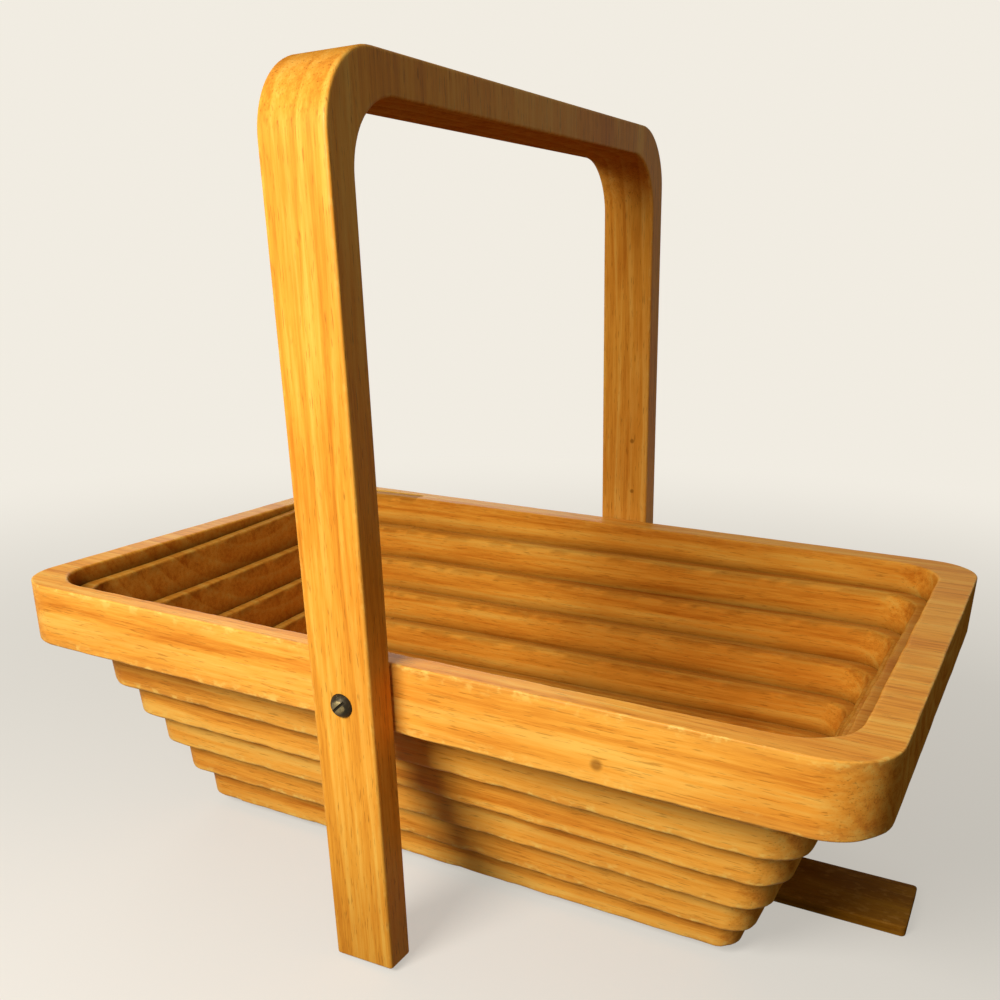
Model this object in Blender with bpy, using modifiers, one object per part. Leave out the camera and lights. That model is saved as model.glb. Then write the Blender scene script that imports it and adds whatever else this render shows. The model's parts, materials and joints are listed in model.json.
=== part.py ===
"""Collapsible wooden basket, cut from one board by a tilted spiral saw cut.

The saw cut winds inwards through a rounded rectangular board.  The blade is tilted, so every
turn of the cut leaves walls that lean outwards at the top: pulled down, each turn of the coil
drops until it wedges in the turn outside it, and pushed up the coil is a flat board again.
A U-shaped handle swings on two screws in the rim's long sides, and a thin stay bar turns on a
screw under the base plate.

The basket stands on z = 0, its long axis is X, and it is shown open, as in use.
"""

from math import asin, cos, pi, radians, sin, sqrt, tan

import bmesh
import bpy
from mathutils import Matrix

for old in list(bpy.data.objects):
    bpy.data.objects.remove(old, do_unlink=True)

# Board that the rim, the coil and the base plate are cut from
BOARD_LENGTH = 0.320
BOARD_WIDTH = 0.2106
BOARD_THICKNESS = 0.0233
BOARD_CORNER_RADIUS = 0.0190
BOARD_EDGE_ROUND = 0.0012

# Spiral saw cut: one turn goes once round the board, from the seam on the far long side
COIL_TURNS = 5
TURN_DROP = 0.01435
SAW_TILT = radians(5.0)
WEDGE_GAP = 0.0003
CUT_FIRST_INSET_X = 0.0110
CUT_FIRST_INSET_Y = 0.0077
CUT_PITCH_X = 0.0058
CUT_PITCH_Y = 0.0072
CUT_FIRST_RADIUS = 0.0184
CUT_RADIUS_LOSS = 0.0016
# The seam lies this far before the first corner of the innermost turn
SEAM_BEFORE_CORNER = 0.0043
SEAM_GAP = 0.0003
COIL_EDGE_ROUND = 0.0005
# The first turn hangs below the rim by this share of the drop between one turn and the next
FIRST_TURN_SHARE = 0.42

# Handle
HANDLE_THICKNESS = 0.0110
HANDLE_WIDTH = 0.0222
HANDLE_SIDE_GAP = 0.0008
HANDLE_END_GAP = 0.0016
HANDLE_OUTER_RADIUS = 0.0220
HANDLE_EDGE_ROUND = 0.0010
HANDLE_LEAN = radians(-2.5)
HANDLE_FLOOR_GAP = 0.0003
PIVOT_X = 0.0030

# Stay bar under the base plate
BAR_OVERHANG = 0.0035
BAR_WIDTH = 0.0300
BAR_THICKNESS = 0.0042
BAR_EDGE_ROUND = 0.0006
BAR_TURN = radians(1.0)

# Screws
PIVOT_SHANK_RADIUS = 0.0021
PIVOT_HEAD_RADIUS = 0.0042
PIVOT_HEAD_HEIGHT = 0.0024
PIVOT_DEPTH_IN_RIM = 0.0055
PIVOT_SLOT_WIDTH = 0.0010
PIVOT_SLOT_DEPTH = 0.0012
PIVOT_SLOT_ANGLE = radians(45.0)
STAY_SHANK_RADIUS = 0.0018
STAY_HEAD_RADIUS = 0.0036
STAY_DEPTH_IN_BASE = 0.0150
STAY_SLOT_WIDTH = 0.0009
STAY_SLOT_DEPTH = 0.0008
FIT_GAP = 0.0003

# Facets
CORNER_STEPS = 6
HANDLE_CORNER_STEPS = 9
ROUND_STEPS = 24
CUT_MARGIN = 0.0020

# Worked out from the driving dimensions
SAW_SLOPE = tan(SAW_TILT)
KERF = TURN_DROP * SAW_SLOPE + WEDGE_GAP
INNER_CORNER_X = (BOARD_LENGTH / 2 - CUT_FIRST_INSET_X - CUT_FIRST_RADIUS
                  - COIL_TURNS * (CUT_PITCH_X - CUT_RADIUS_LOSS))
SEAM_X = SEAM_BEFORE_CORNER - INNER_CORNER_X
BASE_DROP = (COIL_TURNS + FIRST_TURN_SHARE) * TURN_DROP
BASE_BOTTOM = BAR_THICKNESS + FIT_GAP
RIM_BOTTOM = BASE_BOTTOM + BASE_DROP
PIVOT_HEIGHT = RIM_BOTTOM + BOARD_THICKNESS / 2
HANDLE_INNER_Y = BOARD_WIDTH / 2 + HANDLE_SIDE_GAP
HANDLE_OUTER_Y = HANDLE_INNER_Y + HANDLE_THICKNESS
# The handle folds down snugly round the rim's left end, which is the further one from its pivots
HANDLE_INNER_REACH = BOARD_LENGTH / 2 + PIVOT_X + HANDLE_END_GAP
HANDLE_OUTER_REACH = HANDLE_INNER_REACH + HANDLE_THICKNESS
HANDLE_INNER_RADIUS = BOARD_CORNER_RADIUS + HANDLE_END_GAP
# The square foot of a leg clears the table while the handle swings
LEG_REACH = sqrt((PIVOT_HEIGHT - HANDLE_FLOOR_GAP) ** 2 - (HANDLE_WIDTH / 2) ** 2)
BAR_LENGTH = BOARD_LENGTH + 2 * BAR_OVERHANG


def turn_drop(turn):
    """How far a turn of the open coil, counted from 1, hangs below the rim."""
    return (turn - 1 + FIRST_TURN_SHARE) * TURN_DROP


def collection(name):
    """A new collection in the scene."""
    made = bpy.data.collections.new(name)
    bpy.context.scene.collection.children.link(made)
    return made


PARTS = collection("collapsible_basket")
CUTTERS = collection("cutters")


def finish(name, colour, roughness, metallic=0.0):
    """A Principled material in one plain colour."""
    made = bpy.data.materials.new(name)
    made.use_nodes = True
    shader = made.node_tree.nodes["Principled BSDF"]
    shader.inputs["Base Color"].default_value = (*colour, 1.0)
    shader.inputs["Roughness"].default_value = roughness
    shader.inputs["Metallic"].default_value = metallic
    made.diffuse_color = (*colour, 1.0)
    return made


RIM_WOOD = finish("rim_wood", (0.68, 0.36, 0.10), 0.42)
COIL_WOOD = finish("coil_wood", (0.58, 0.29, 0.08), 0.48)
BASE_WOOD = finish("base_wood", (0.55, 0.27, 0.07), 0.48)
HANDLE_WOOD = finish("handle_wood", (0.70, 0.34, 0.08), 0.38)
BAR_WOOD = finish("bar_wood", (0.50, 0.25, 0.06), 0.50)
SCREW_METAL = finish("screw_metal", (0.12, 0.09, 0.05), 0.40, 0.90)


def add_part(name, mesh, material, location=(0.0, 0.0, 0.0), group=PARTS):
    """An object for a mesh, with its material, in the parts' collection."""
    obj = bpy.data.objects.new(name, mesh)
    obj.location = location
    group.objects.link(obj)
    obj.data.materials.clear()
    obj.data.materials.append(material)
    return obj


def as_cutter(obj):
    """Hide an object that only cuts."""
    obj.hide_render = True
    obj.display_type = 'WIRE'
    return obj


def cut(obj, cutter):
    """Cut one object out of another."""
    boolean = obj.modifiers.new("cut_" + cutter.name, 'BOOLEAN')
    boolean.operation = 'DIFFERENCE'
    boolean.object = cutter
    boolean.solver = 'EXACT'


def round_edges(obj, width, segments=1, angle=40.0):
    """Round the edges of an object that are sharper than an angle in degrees."""
    bevel = obj.modifiers.new("rounded_edges", 'BEVEL')
    bevel.width = width
    bevel.segments = segments
    bevel.limit_method = 'ANGLE'
    bevel.angle_limit = radians(angle)
    bevel.use_clamp_overlap = True


def shade(obj, angle=35.0):
    """Shade an object smooth but for its sharp edges."""
    obj.data.shade_smooth()
    obj.data.set_sharp_from_angle(angle=radians(angle))


def carry(child, parent):
    """Parent one object to another without moving it."""
    child.parent = parent
    child.matrix_parent_inverse = Matrix.Translation(-parent.location)


# Outline of the board and of the spiral cut
CORNERS = ((-1, 1, 90.0), (-1, -1, 180.0), (1, -1, 270.0), (1, 1, 0.0))


def run_shares():
    """Where each straight and each corner ends, as shares of one turn from the seam."""
    straight_x = BOARD_LENGTH - 2 * BOARD_CORNER_RADIUS
    straight_y = BOARD_WIDTH - 2 * BOARD_CORNER_RADIUS
    corner = BOARD_CORNER_RADIUS * pi / 2
    stub = straight_x / 2 + SEAM_X
    lengths = (stub, corner, straight_y, corner, straight_x, corner, straight_y, corner,
               straight_x - stub)
    total = sum(lengths)
    shares = [0.0]
    for length in lengths:
        shares.append(shares[-1] + length / total)
    return shares


RUNS = run_shares()


def turn_stations():
    """Shares of one turn at which an outline has a point: corners in steps, straights none."""
    stations = []
    for run in range(len(RUNS) - 1):
        steps = CORNER_STEPS if run % 2 else 1
        for step in range(steps):
            stations.append(RUNS[run] + (RUNS[run + 1] - RUNS[run]) * step / steps)
    stations.append(1.0)
    return stations


STATIONS = turn_stations()


def outline_point(share, inset_x, inset_y, radius, seam_x):
    """A point of a rounded rectangle that lies inside the board's outline by two insets."""
    half_x = BOARD_LENGTH / 2 - inset_x
    half_y = BOARD_WIDTH / 2 - inset_y
    centre_x = half_x - radius
    centre_y = half_y - radius
    run = max(i for i in range(len(RUNS) - 1) if share >= RUNS[i] - 1e-9)
    part = (share - RUNS[run]) / (RUNS[run + 1] - RUNS[run])
    if run % 2:
        sign_x, sign_y, first = CORNERS[run // 2]
        angle = radians(first + 90.0 * part)
        return (sign_x * centre_x + radius * cos(angle), sign_y * centre_y + radius * sin(angle))
    ends = ((seam_x, half_y), (-centre_x, half_y),
            (-half_x, centre_y), (-half_x, -centre_y),
            (-centre_x, -half_y), (centre_x, -half_y),
            (half_x, -centre_y), (half_x, centre_y),
            (centre_x, half_y), (seam_x, half_y))
    (x0, y0), (x1, y1) = ends[run], ends[run + 1]
    return (x0 + (x1 - x0) * part, y0 + (y1 - y0) * part)


def cut_wall(turn, side, level, seam_x):
    """One turn of a wall of the saw cut, at a level above the board's lower face.

    turn counts from 0 at the seam, and side is 1 for the wall outside the cut, -1 for the
    one inside it.
    """
    lean = (BOARD_THICKNESS / 2 - level) * SAW_SLOPE
    shift = lean - side * KERF / 2
    points = []
    for share in STATIONS:
        wound = turn + share
        points.append(outline_point(share, CUT_FIRST_INSET_X + CUT_PITCH_X * wound + shift,
                                    CUT_FIRST_INSET_Y + CUT_PITCH_Y * wound + shift,
                                    CUT_FIRST_RADIUS - CUT_RADIUS_LOSS * wound - shift, seam_x))
    return points


def loft(name, lower, upper, bottom, top):
    """A closed solid between a lower and an upper outline with as many points each."""
    mesh = bmesh.new()
    loops = []
    for outline, z in ((lower, bottom), (upper, top)):
        loops.append([mesh.verts.new((x, y, z)) for x, y in outline])
    low, high = loops
    mesh.faces.new(list(reversed(low)))
    mesh.faces.new(high)
    for i in range(len(low)):
        j = (i + 1) % len(low)
        mesh.faces.new((low[i], low[j], high[j], high[i]))
    bmesh.ops.recalc_face_normals(mesh, faces=mesh.faces[:])
    data = bpy.data.meshes.new(name)
    mesh.to_mesh(data)
    mesh.free()
    return data


def curve_mesh(name, outline, half_depth, edge_round):
    """A flat outline filled, extruded and rounded at its edges, as a closed mesh."""
    curve = bpy.data.curves.new(name + "_outline", 'CURVE')
    curve.dimensions = '2D'
    curve.fill_mode = 'BOTH'
    curve.extrude = half_depth - edge_round
    curve.bevel_depth = edge_round
    curve.bevel_resolution = 1
    curve.offset = -edge_round
    spline = curve.splines.new('POLY')
    spline.points.add(len(outline) - 1)
    for point, (x, y) in zip(spline.points, outline):
        point.co = (x, y, 0.0, 1.0)
    spline.use_cyclic_u = True
    guide = bpy.data.objects.new(name + "_outline", curve)
    CUTTERS.objects.link(guide)
    bpy.context.view_layer.update()
    evaluated = guide.evaluated_get(bpy.context.evaluated_depsgraph_get())
    data = bpy.data.meshes.new_from_object(evaluated)
    data.name = name
    mesh = bmesh.new()
    mesh.from_mesh(data)
    bmesh.ops.remove_doubles(mesh, verts=mesh.verts[:], dist=0.00001)
    mesh.to_mesh(data)
    mesh.free()
    bpy.data.objects.remove(guide, do_unlink=True)
    return data


def rod(name, radius, length, centre, axis='Z', steps=ROUND_STEPS, tip=None):
    """A cylinder, or a cone down to a tip radius, centred on a point along an axis."""
    mesh = bmesh.new()
    bmesh.ops.create_cone(mesh, cap_ends=True, segments=steps, radius1=radius,
                          radius2=radius if tip is None else tip, depth=length)
    if axis == 'Y':
        mesh.transform(Matrix.Rotation(radians(-90.0), 4, 'X'))
    mesh.transform(Matrix.Translation(centre))
    data = bpy.data.meshes.new(name)
    mesh.to_mesh(data)
    mesh.free()
    return data


def cutter_object(name, mesh, location=(0.0, 0.0, 0.0)):
    """A hidden cutter for a mesh."""
    return as_cutter(add_part(name, mesh, SCREW_METAL, location, CUTTERS))


def box_mesh(name, size):
    """A box of a size, centred on its own origin."""
    mesh = bmesh.new()
    bmesh.ops.create_cube(mesh, size=1.0)
    mesh.transform(Matrix.Diagonal((*size, 1.0)))
    data = bpy.data.meshes.new(name)
    mesh.to_mesh(data)
    mesh.free()
    return data


def build_rim():
    """The outer ring of the board, with the first turn of the cut as its inner wall."""
    outline = [outline_point(share, 0.0, 0.0, BOARD_CORNER_RADIUS, SEAM_X)
               for share in STATIONS]
    # The seam lies on a straight side, so the outline needs no point there
    outline = outline[1:-1]
    blank = curve_mesh("rim", outline, BOARD_THICKNESS / 2, BOARD_EDGE_ROUND)
    blank.transform(Matrix.Translation((0.0, 0.0, BOARD_THICKNESS / 2)))
    rim = add_part("rim", blank, RIM_WOOD, (0.0, 0.0, RIM_BOTTOM))
    low, high = -CUT_MARGIN, BOARD_THICKNESS + CUT_MARGIN
    plug = loft("rim_opening", cut_wall(0, 1, low, SEAM_X), cut_wall(0, 1, high, SEAM_X), low, high)
    cut(rim, cutter_object("rim_opening", plug, rim.location))
    for side in (-1, 1):
        depth = PIVOT_DEPTH_IN_RIM + FIT_GAP
        middle = side * (BOARD_WIDTH / 2 - depth / 2 + CUT_MARGIN / 2)
        hole = rod("rim_screw_hole", PIVOT_SHANK_RADIUS + FIT_GAP, depth + CUT_MARGIN,
                   (PIVOT_X, middle, PIVOT_HEIGHT), 'Y')
        cut(rim, cutter_object(f"rim_screw_hole_{'far' if side > 0 else 'near'}", hole))
    shade(rim)
    return rim


def build_turn(turn):
    """One turn of the coil, level, from its start at the seam round to its end there."""
    def outline(level):
        outer = cut_wall(turn - 1, -1, level, SEAM_X)
        inner = cut_wall(turn, 1, level, SEAM_X)
        for wall in (outer, inner):
            wall[0] = (SEAM_X - SEAM_GAP, wall[0][1])
        return outer + inner[::-1]

    mesh = loft(f"coil_turn_{turn}", outline(0.0), outline(BOARD_THICKNESS), 0.0, BOARD_THICKNESS)
    piece = add_part(f"coil_turn_{turn}", mesh, COIL_WOOD,
                     (0.0, 0.0, RIM_BOTTOM - turn_drop(turn)))
    round_edges(piece, COIL_EDGE_ROUND)
    shade(piece)
    return piece


def build_base():
    """The middle of the board, which the last turn of the coil carries."""
    seam = SEAM_X - SEAM_GAP
    mesh = loft("base_plate", cut_wall(COIL_TURNS, -1, 0.0, seam),
                cut_wall(COIL_TURNS, -1, BOARD_THICKNESS, seam), 0.0, BOARD_THICKNESS)
    base = add_part("base_plate", mesh, BASE_WOOD, (0.0, 0.0, BASE_BOTTOM))
    depth = STAY_DEPTH_IN_BASE + FIT_GAP
    hole = rod("base_screw_hole", STAY_SHANK_RADIUS + FIT_GAP, depth + CUT_MARGIN,
               (0.0, 0.0, BASE_BOTTOM + (depth - CUT_MARGIN) / 2))
    round_edges(base, COIL_EDGE_ROUND)
    cut(base, cutter_object("base_screw_hole", hole))
    shade(base)
    return base


def handle_outline():
    """The U of the handle, across and up from its pivots, as one closed outline."""
    def edge(half_span, reach, radius):
        """The outside or the inside of the U, from one foot to the other."""
        points = [(half_span, -LEG_REACH)]
        for side in (1, -1):
            for step in range(HANDLE_CORNER_STEPS + 1):
                swept = pi / 2 * step / HANDLE_CORNER_STEPS
                angle = swept if side > 0 else pi / 2 + swept
                points.append((side * (half_span - radius) + radius * cos(angle),
                               reach - radius + radius * sin(angle)))
        points.append((-half_span, -LEG_REACH))
        return points

    outer = edge(HANDLE_OUTER_Y, HANDLE_OUTER_REACH, HANDLE_OUTER_RADIUS)
    inner = edge(HANDLE_INNER_Y, HANDLE_INNER_REACH, HANDLE_INNER_RADIUS)
    return outer + inner[::-1]


def build_handle():
    """The U-shaped handle, its origin on the pivot axis, leaning as in the photograph."""
    mesh = curve_mesh("handle", handle_outline(), HANDLE_WIDTH / 2, HANDLE_EDGE_ROUND)
    # The outline's X and Y become the handle's Y and Z
    mesh.transform(Matrix(((0, 0, 1, 0), (1, 0, 0, 0), (0, 1, 0, 0), (0, 0, 0, 1))))
    handle = add_part("handle", mesh, HANDLE_WOOD, (PIVOT_X, 0.0, PIVOT_HEIGHT))
    handle.rotation_euler = (0.0, HANDLE_LEAN, 0.0)
    hole = rod("handle_pivot_holes", PIVOT_SHANK_RADIUS + FIT_GAP,
               2 * (HANDLE_OUTER_Y + CUT_MARGIN), (PIVOT_X, 0.0, PIVOT_HEIGHT), 'Y')
    cut(handle, cutter_object("handle_pivot_holes", hole))
    shade(handle)
    return handle


def build_pivot_screw(name, side):
    """A round-head slotted wood screw through a leg of the handle into the rim."""
    seat = HANDLE_OUTER_Y + FIT_GAP
    tip = BOARD_WIDTH / 2 - PIVOT_DEPTH_IN_RIM
    sphere_radius = (PIVOT_HEAD_RADIUS ** 2 + PIVOT_HEAD_HEIGHT ** 2) / (2 * PIVOT_HEAD_HEIGHT)
    widest = asin(PIVOT_HEAD_RADIUS / sphere_radius)
    dome_steps = 4
    # Half the screw's outline from the middle of its head down to its tip
    profile = [(0.0, seat + PIVOT_HEAD_HEIGHT)]
    for step in range(1, dome_steps + 1):
        angle = widest * step / dome_steps
        height = sphere_radius * (cos(angle) - cos(widest))
        profile.append((sphere_radius * sin(angle), seat + height))
    profile.append((PIVOT_SHANK_RADIUS, seat))
    profile.append((PIVOT_SHANK_RADIUS, tip + PIVOT_SHANK_RADIUS))
    profile.append((0.0, tip))
    screw = turned(name, profile)
    screw.rotation_euler = (radians(-90.0 * side), 0.0, 0.0)
    screw.location = (PIVOT_X, 0.0, PIVOT_HEIGHT)
    slot = cutter_object(name + "_slot", box_mesh(name + "_slot",
                         (2.2 * PIVOT_HEAD_RADIUS, 2 * PIVOT_SLOT_DEPTH, PIVOT_SLOT_WIDTH)),
                         (PIVOT_X, side * (seat + PIVOT_HEAD_HEIGHT), PIVOT_HEIGHT))
    slot.rotation_euler = (0.0, PIVOT_SLOT_ANGLE, 0.0)
    cut(screw, slot)
    return screw


def turned(name, profile):
    """A turned solid about its own Z from a profile of radii and heights, top to bottom."""
    data = bpy.data.meshes.new(name)
    mesh = bmesh.new()
    verts = [mesh.verts.new((radius, 0.0, height)) for radius, height in profile]
    for first, second in zip(verts, verts[1:]):
        mesh.edges.new((first, second))
    mesh.to_mesh(data)
    mesh.free()
    obj = add_part(name, data, SCREW_METAL)
    screw = obj.modifiers.new("turned", 'SCREW')
    screw.angle = 2 * pi
    screw.steps = ROUND_STEPS
    screw.render_steps = ROUND_STEPS
    screw.use_merge_vertices = True
    screw.merge_threshold = 0.00001
    screw.use_smooth_shade = True
    return obj


def build_bar():
    """The thin stay bar, its origin on the axis of its screw."""
    bar = add_part("stay_bar", box_mesh("stay_bar", (BAR_LENGTH, BAR_WIDTH, BAR_THICKNESS)),
                   BAR_WOOD, (0.0, 0.0, BAR_THICKNESS / 2))
    bar.rotation_euler = (0.0, 0.0, BAR_TURN)
    round_edges(bar, BAR_EDGE_ROUND)
    # The countersink runs on below the bar at the slope of the screw's head
    slope = (STAY_HEAD_RADIUS - STAY_SHANK_RADIUS) / (BAR_THICKNESS - FIT_GAP)
    widest = STAY_HEAD_RADIUS + FIT_GAP + slope * (FIT_GAP + CUT_MARGIN)
    seat = rod("bar_screw_seat", widest, BAR_THICKNESS + CUT_MARGIN,
               (0.0, 0.0, (BAR_THICKNESS - CUT_MARGIN) / 2), tip=STAY_SHANK_RADIUS + FIT_GAP)
    cut(bar, cutter_object("bar_screw_seat", seat))
    through = rod("bar_screw_hole", STAY_SHANK_RADIUS + FIT_GAP, 2 * BAR_THICKNESS + CUT_MARGIN,
                  (0.0, 0.0, BAR_THICKNESS / 2))
    cut(bar, cutter_object("bar_screw_hole", through))
    return bar


def build_bar_screw():
    """The countersunk screw that holds the stay bar under the base plate."""
    bottom = FIT_GAP
    neck = BAR_THICKNESS
    tip = BASE_BOTTOM + STAY_DEPTH_IN_BASE
    profile = [(0.0, tip), (STAY_SHANK_RADIUS, tip - STAY_SHANK_RADIUS), (STAY_SHANK_RADIUS, neck),
               (STAY_HEAD_RADIUS, bottom), (0.0, bottom)]
    screw = turned("stay_screw", profile)
    slot = cutter_object("stay_screw_slot", box_mesh("stay_screw_slot",
                         (2.2 * STAY_HEAD_RADIUS, STAY_SLOT_WIDTH, 2 * STAY_SLOT_DEPTH)),
                         (0.0, 0.0, bottom))
    cut(screw, slot)
    return screw


rim = build_rim()
carrier = rim
for number in range(1, COIL_TURNS + 1):
    coil_turn = build_turn(number)
    carry(coil_turn, carrier)
    carrier = coil_turn
base_plate = build_base()
carry(base_plate, carrier)
handle = build_handle()
carry(handle, rim)
for screw_name, screw_side in (("pivot_screw_near", -1), ("pivot_screw_far", 1)):
    carry(build_pivot_screw(screw_name, screw_side), rim)
stay_bar = build_bar()
carry(stay_bar, base_plate)
stay_screw = build_bar_screw()
carry(stay_screw, base_plate)
bpy.context.view_layer.update()
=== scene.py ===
"""The looks of a collapsible wooden basket that was sawn from one board.

One tilted saw cut winds inwards through the board and leaves a rim, a long springy coil and a
base plate. Here the coil is one sloping strip all the way from the rim to the base plate. Each
stretch of it slopes from the level at which one of the frame's bodies hangs to the next one's.
The grain of every piece is worked out in the place that the piece had in the board.
"""

import json
import logging
from dataclasses import dataclass, field
from enum import Enum
from itertools import accumulate
from math import asin, cos, inf, pi, radians, sin, tan
from typing import Any, Callable, NamedTuple, Sequence

import bmesh
import bpy
from mathutils import Euler, Matrix, Vector


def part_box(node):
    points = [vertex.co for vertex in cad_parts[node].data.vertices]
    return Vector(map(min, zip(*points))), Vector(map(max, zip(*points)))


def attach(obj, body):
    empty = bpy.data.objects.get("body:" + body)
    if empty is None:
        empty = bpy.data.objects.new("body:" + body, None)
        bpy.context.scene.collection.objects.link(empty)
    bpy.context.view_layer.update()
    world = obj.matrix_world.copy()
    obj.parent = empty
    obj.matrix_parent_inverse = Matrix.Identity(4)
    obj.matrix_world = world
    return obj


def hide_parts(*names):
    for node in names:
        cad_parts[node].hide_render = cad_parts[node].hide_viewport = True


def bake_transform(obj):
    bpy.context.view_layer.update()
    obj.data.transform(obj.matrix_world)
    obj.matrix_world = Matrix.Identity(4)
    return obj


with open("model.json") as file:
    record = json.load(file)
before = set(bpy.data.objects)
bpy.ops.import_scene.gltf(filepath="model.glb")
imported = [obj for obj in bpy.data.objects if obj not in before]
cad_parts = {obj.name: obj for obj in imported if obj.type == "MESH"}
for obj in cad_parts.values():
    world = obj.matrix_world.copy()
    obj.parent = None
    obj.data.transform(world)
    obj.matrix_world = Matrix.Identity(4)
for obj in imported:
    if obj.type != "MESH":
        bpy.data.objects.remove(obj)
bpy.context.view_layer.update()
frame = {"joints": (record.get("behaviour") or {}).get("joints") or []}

log = logging.getLogger("basket")

# Lengths are in metres
MM = 0.001
# What a mesh notes at each of its vertices, among them painted shade with dust on the coil's ledges
GRAIN, WEAR, SHADE_AND_DUST, SAWN = "grain", "wear", "shade_and_dust", "sawn"
# Shares of a turn that differ by less count as the same, and what rounding can do to one
SAME_SHARE, SHARE_ERROR = 1e-4, 1e-9
# A rectangle's corners: their signs, and the degrees at which their rounding starts
CORNERS = ((1, 1, 0), (-1, 1, 90), (-1, -1, 180), (1, -1, 270))
# Where in Board.runs the near side starts and ends, and where the far side starts
NEAR_START, NEAR_END, FAR_START = 4, 5, 8
# The coil's stretches meet this far past a corner or before one
STRAIGHT_LEAD = 12.0 * MM
# Hands and dust wear a face this far past its rounded edge
LIP = 0.6 * MM
# How worn the wood is where hands seldom reach
LITTLE_WEAR = 0.2
# Edges that turn by more degrees than these are sharp
SHARP_WOOD, SHARP_METAL = 42.0, 35.0
# Lengths and sizes of the waves that a hand-held board leaves in a saw cut
WAVES = ((0.021, 0.30), (0.034, 0.45), (0.057, 0.60), (0.0087, 0.16))
# How far a seed shifts each wave, and how much more for its size
SEED_SHIFT, SEED_SPREAD = 3.1, 40.0
# The seeds of the waves in the cut, on the board's outline and along the rounded edges
CUT_SEED, OUTLINE_SEED, CHIP_SEED = 1.0, 4.0, 7.0

Point2 = tuple[float, float]
Colour = tuple[float, float, float]
Pieces = list[bpy.types.Object]


class Stretch(Enum):
    """A stretch of one turn of the coil, named for the side of the basket that it runs along."""

    LEFT_END = "left_end"
    NEAR_SIDE = "near_side"
    RIGHT_END = "right_end"
    FAR_SIDE = "far_side"


# The way down along each stretch, in plan
DOWNHILL = {Stretch.LEFT_END: Vector((-0.6, -0.8, 0.0)), Stretch.NEAR_SIDE: Vector((1, 0, 0)),
            Stretch.RIGHT_END: Vector((0, 1, 0)), Stretch.FAR_SIDE: Vector((-1, 0, 0))}


def smooth(t: float) -> float:
    t = min(max(t, 0.0), 1.0)
    return t * t * (3 - 2 * t)


def unsmooth(weight: float) -> float:
    return 0.5 - sin(asin(1 - 2 * weight) / 3)


def smooth_above(value: float, start: float) -> float:
    """0 below start, 1 above 1, and smooth between them."""
    return smooth((value - start) / (1 - start))


def quarter(steps: int, first: float = 0.0, turn: float = 90.0) -> list[float]:
    """The angles at the steps of a quarter turn, from a first one in degrees."""
    return [radians(first + turn * step / steps) for step in range(steps + 1)]


def ripple(place: float, seed: float) -> float:
    """A smooth irregular wave, as a hand-held board leaves in a saw cut.

    Args:
        place: where along the cut, in metres.
        seed: which of the many such waves.

    Returns:
        A value between about -1 and 1.
    """
    return sum(size * sin(2 * pi * place / length + seed * (SEED_SHIFT + size * SEED_SPREAD))
               for length, size in WAVES)


def add_object(name: str, data: bpy.types.ID) -> bpy.types.Object:
    """Put an object in the scene.

    Args:
        name: its name.
        data: its mesh, light or camera.

    Returns:
        The new object.
    """
    made = bpy.data.objects.new(name, data)
    bpy.context.scene.collection.objects.link(made)
    return made


def add_mesh(name: str, mesh: bmesh.types.BMesh) -> bpy.types.Object:
    """Put what mesh code has built in the scene.

    Args:
        name: the object's name.
        mesh: what was built, which is freed.

    Returns:
        The new object.
    """
    data = bpy.data.meshes.new(name)
    mesh.to_mesh(data)
    mesh.free()
    return add_object(name, data)


def cut_away(piece: bpy.types.Object, shape: bmesh.types.BMesh) -> None:
    """Take a shape away from a piece.

    Args:
        piece: what is cut.
        shape: the shape, which is used up.
    """
    cutter = add_mesh("cutter", shape)
    cut = piece.modifiers.new("cut", "BOOLEAN")
    cut.object = cutter
    cut.operation = "DIFFERENCE"
    cut.solver = "EXACT"
    bpy.context.view_layer.update()
    evaluated = piece.evaluated_get(bpy.context.evaluated_depsgraph_get())
    result = bpy.data.meshes.new_from_object(evaluated)
    piece.modifiers.clear()
    piece.data = result
    bpy.data.objects.remove(cutter)


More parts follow.
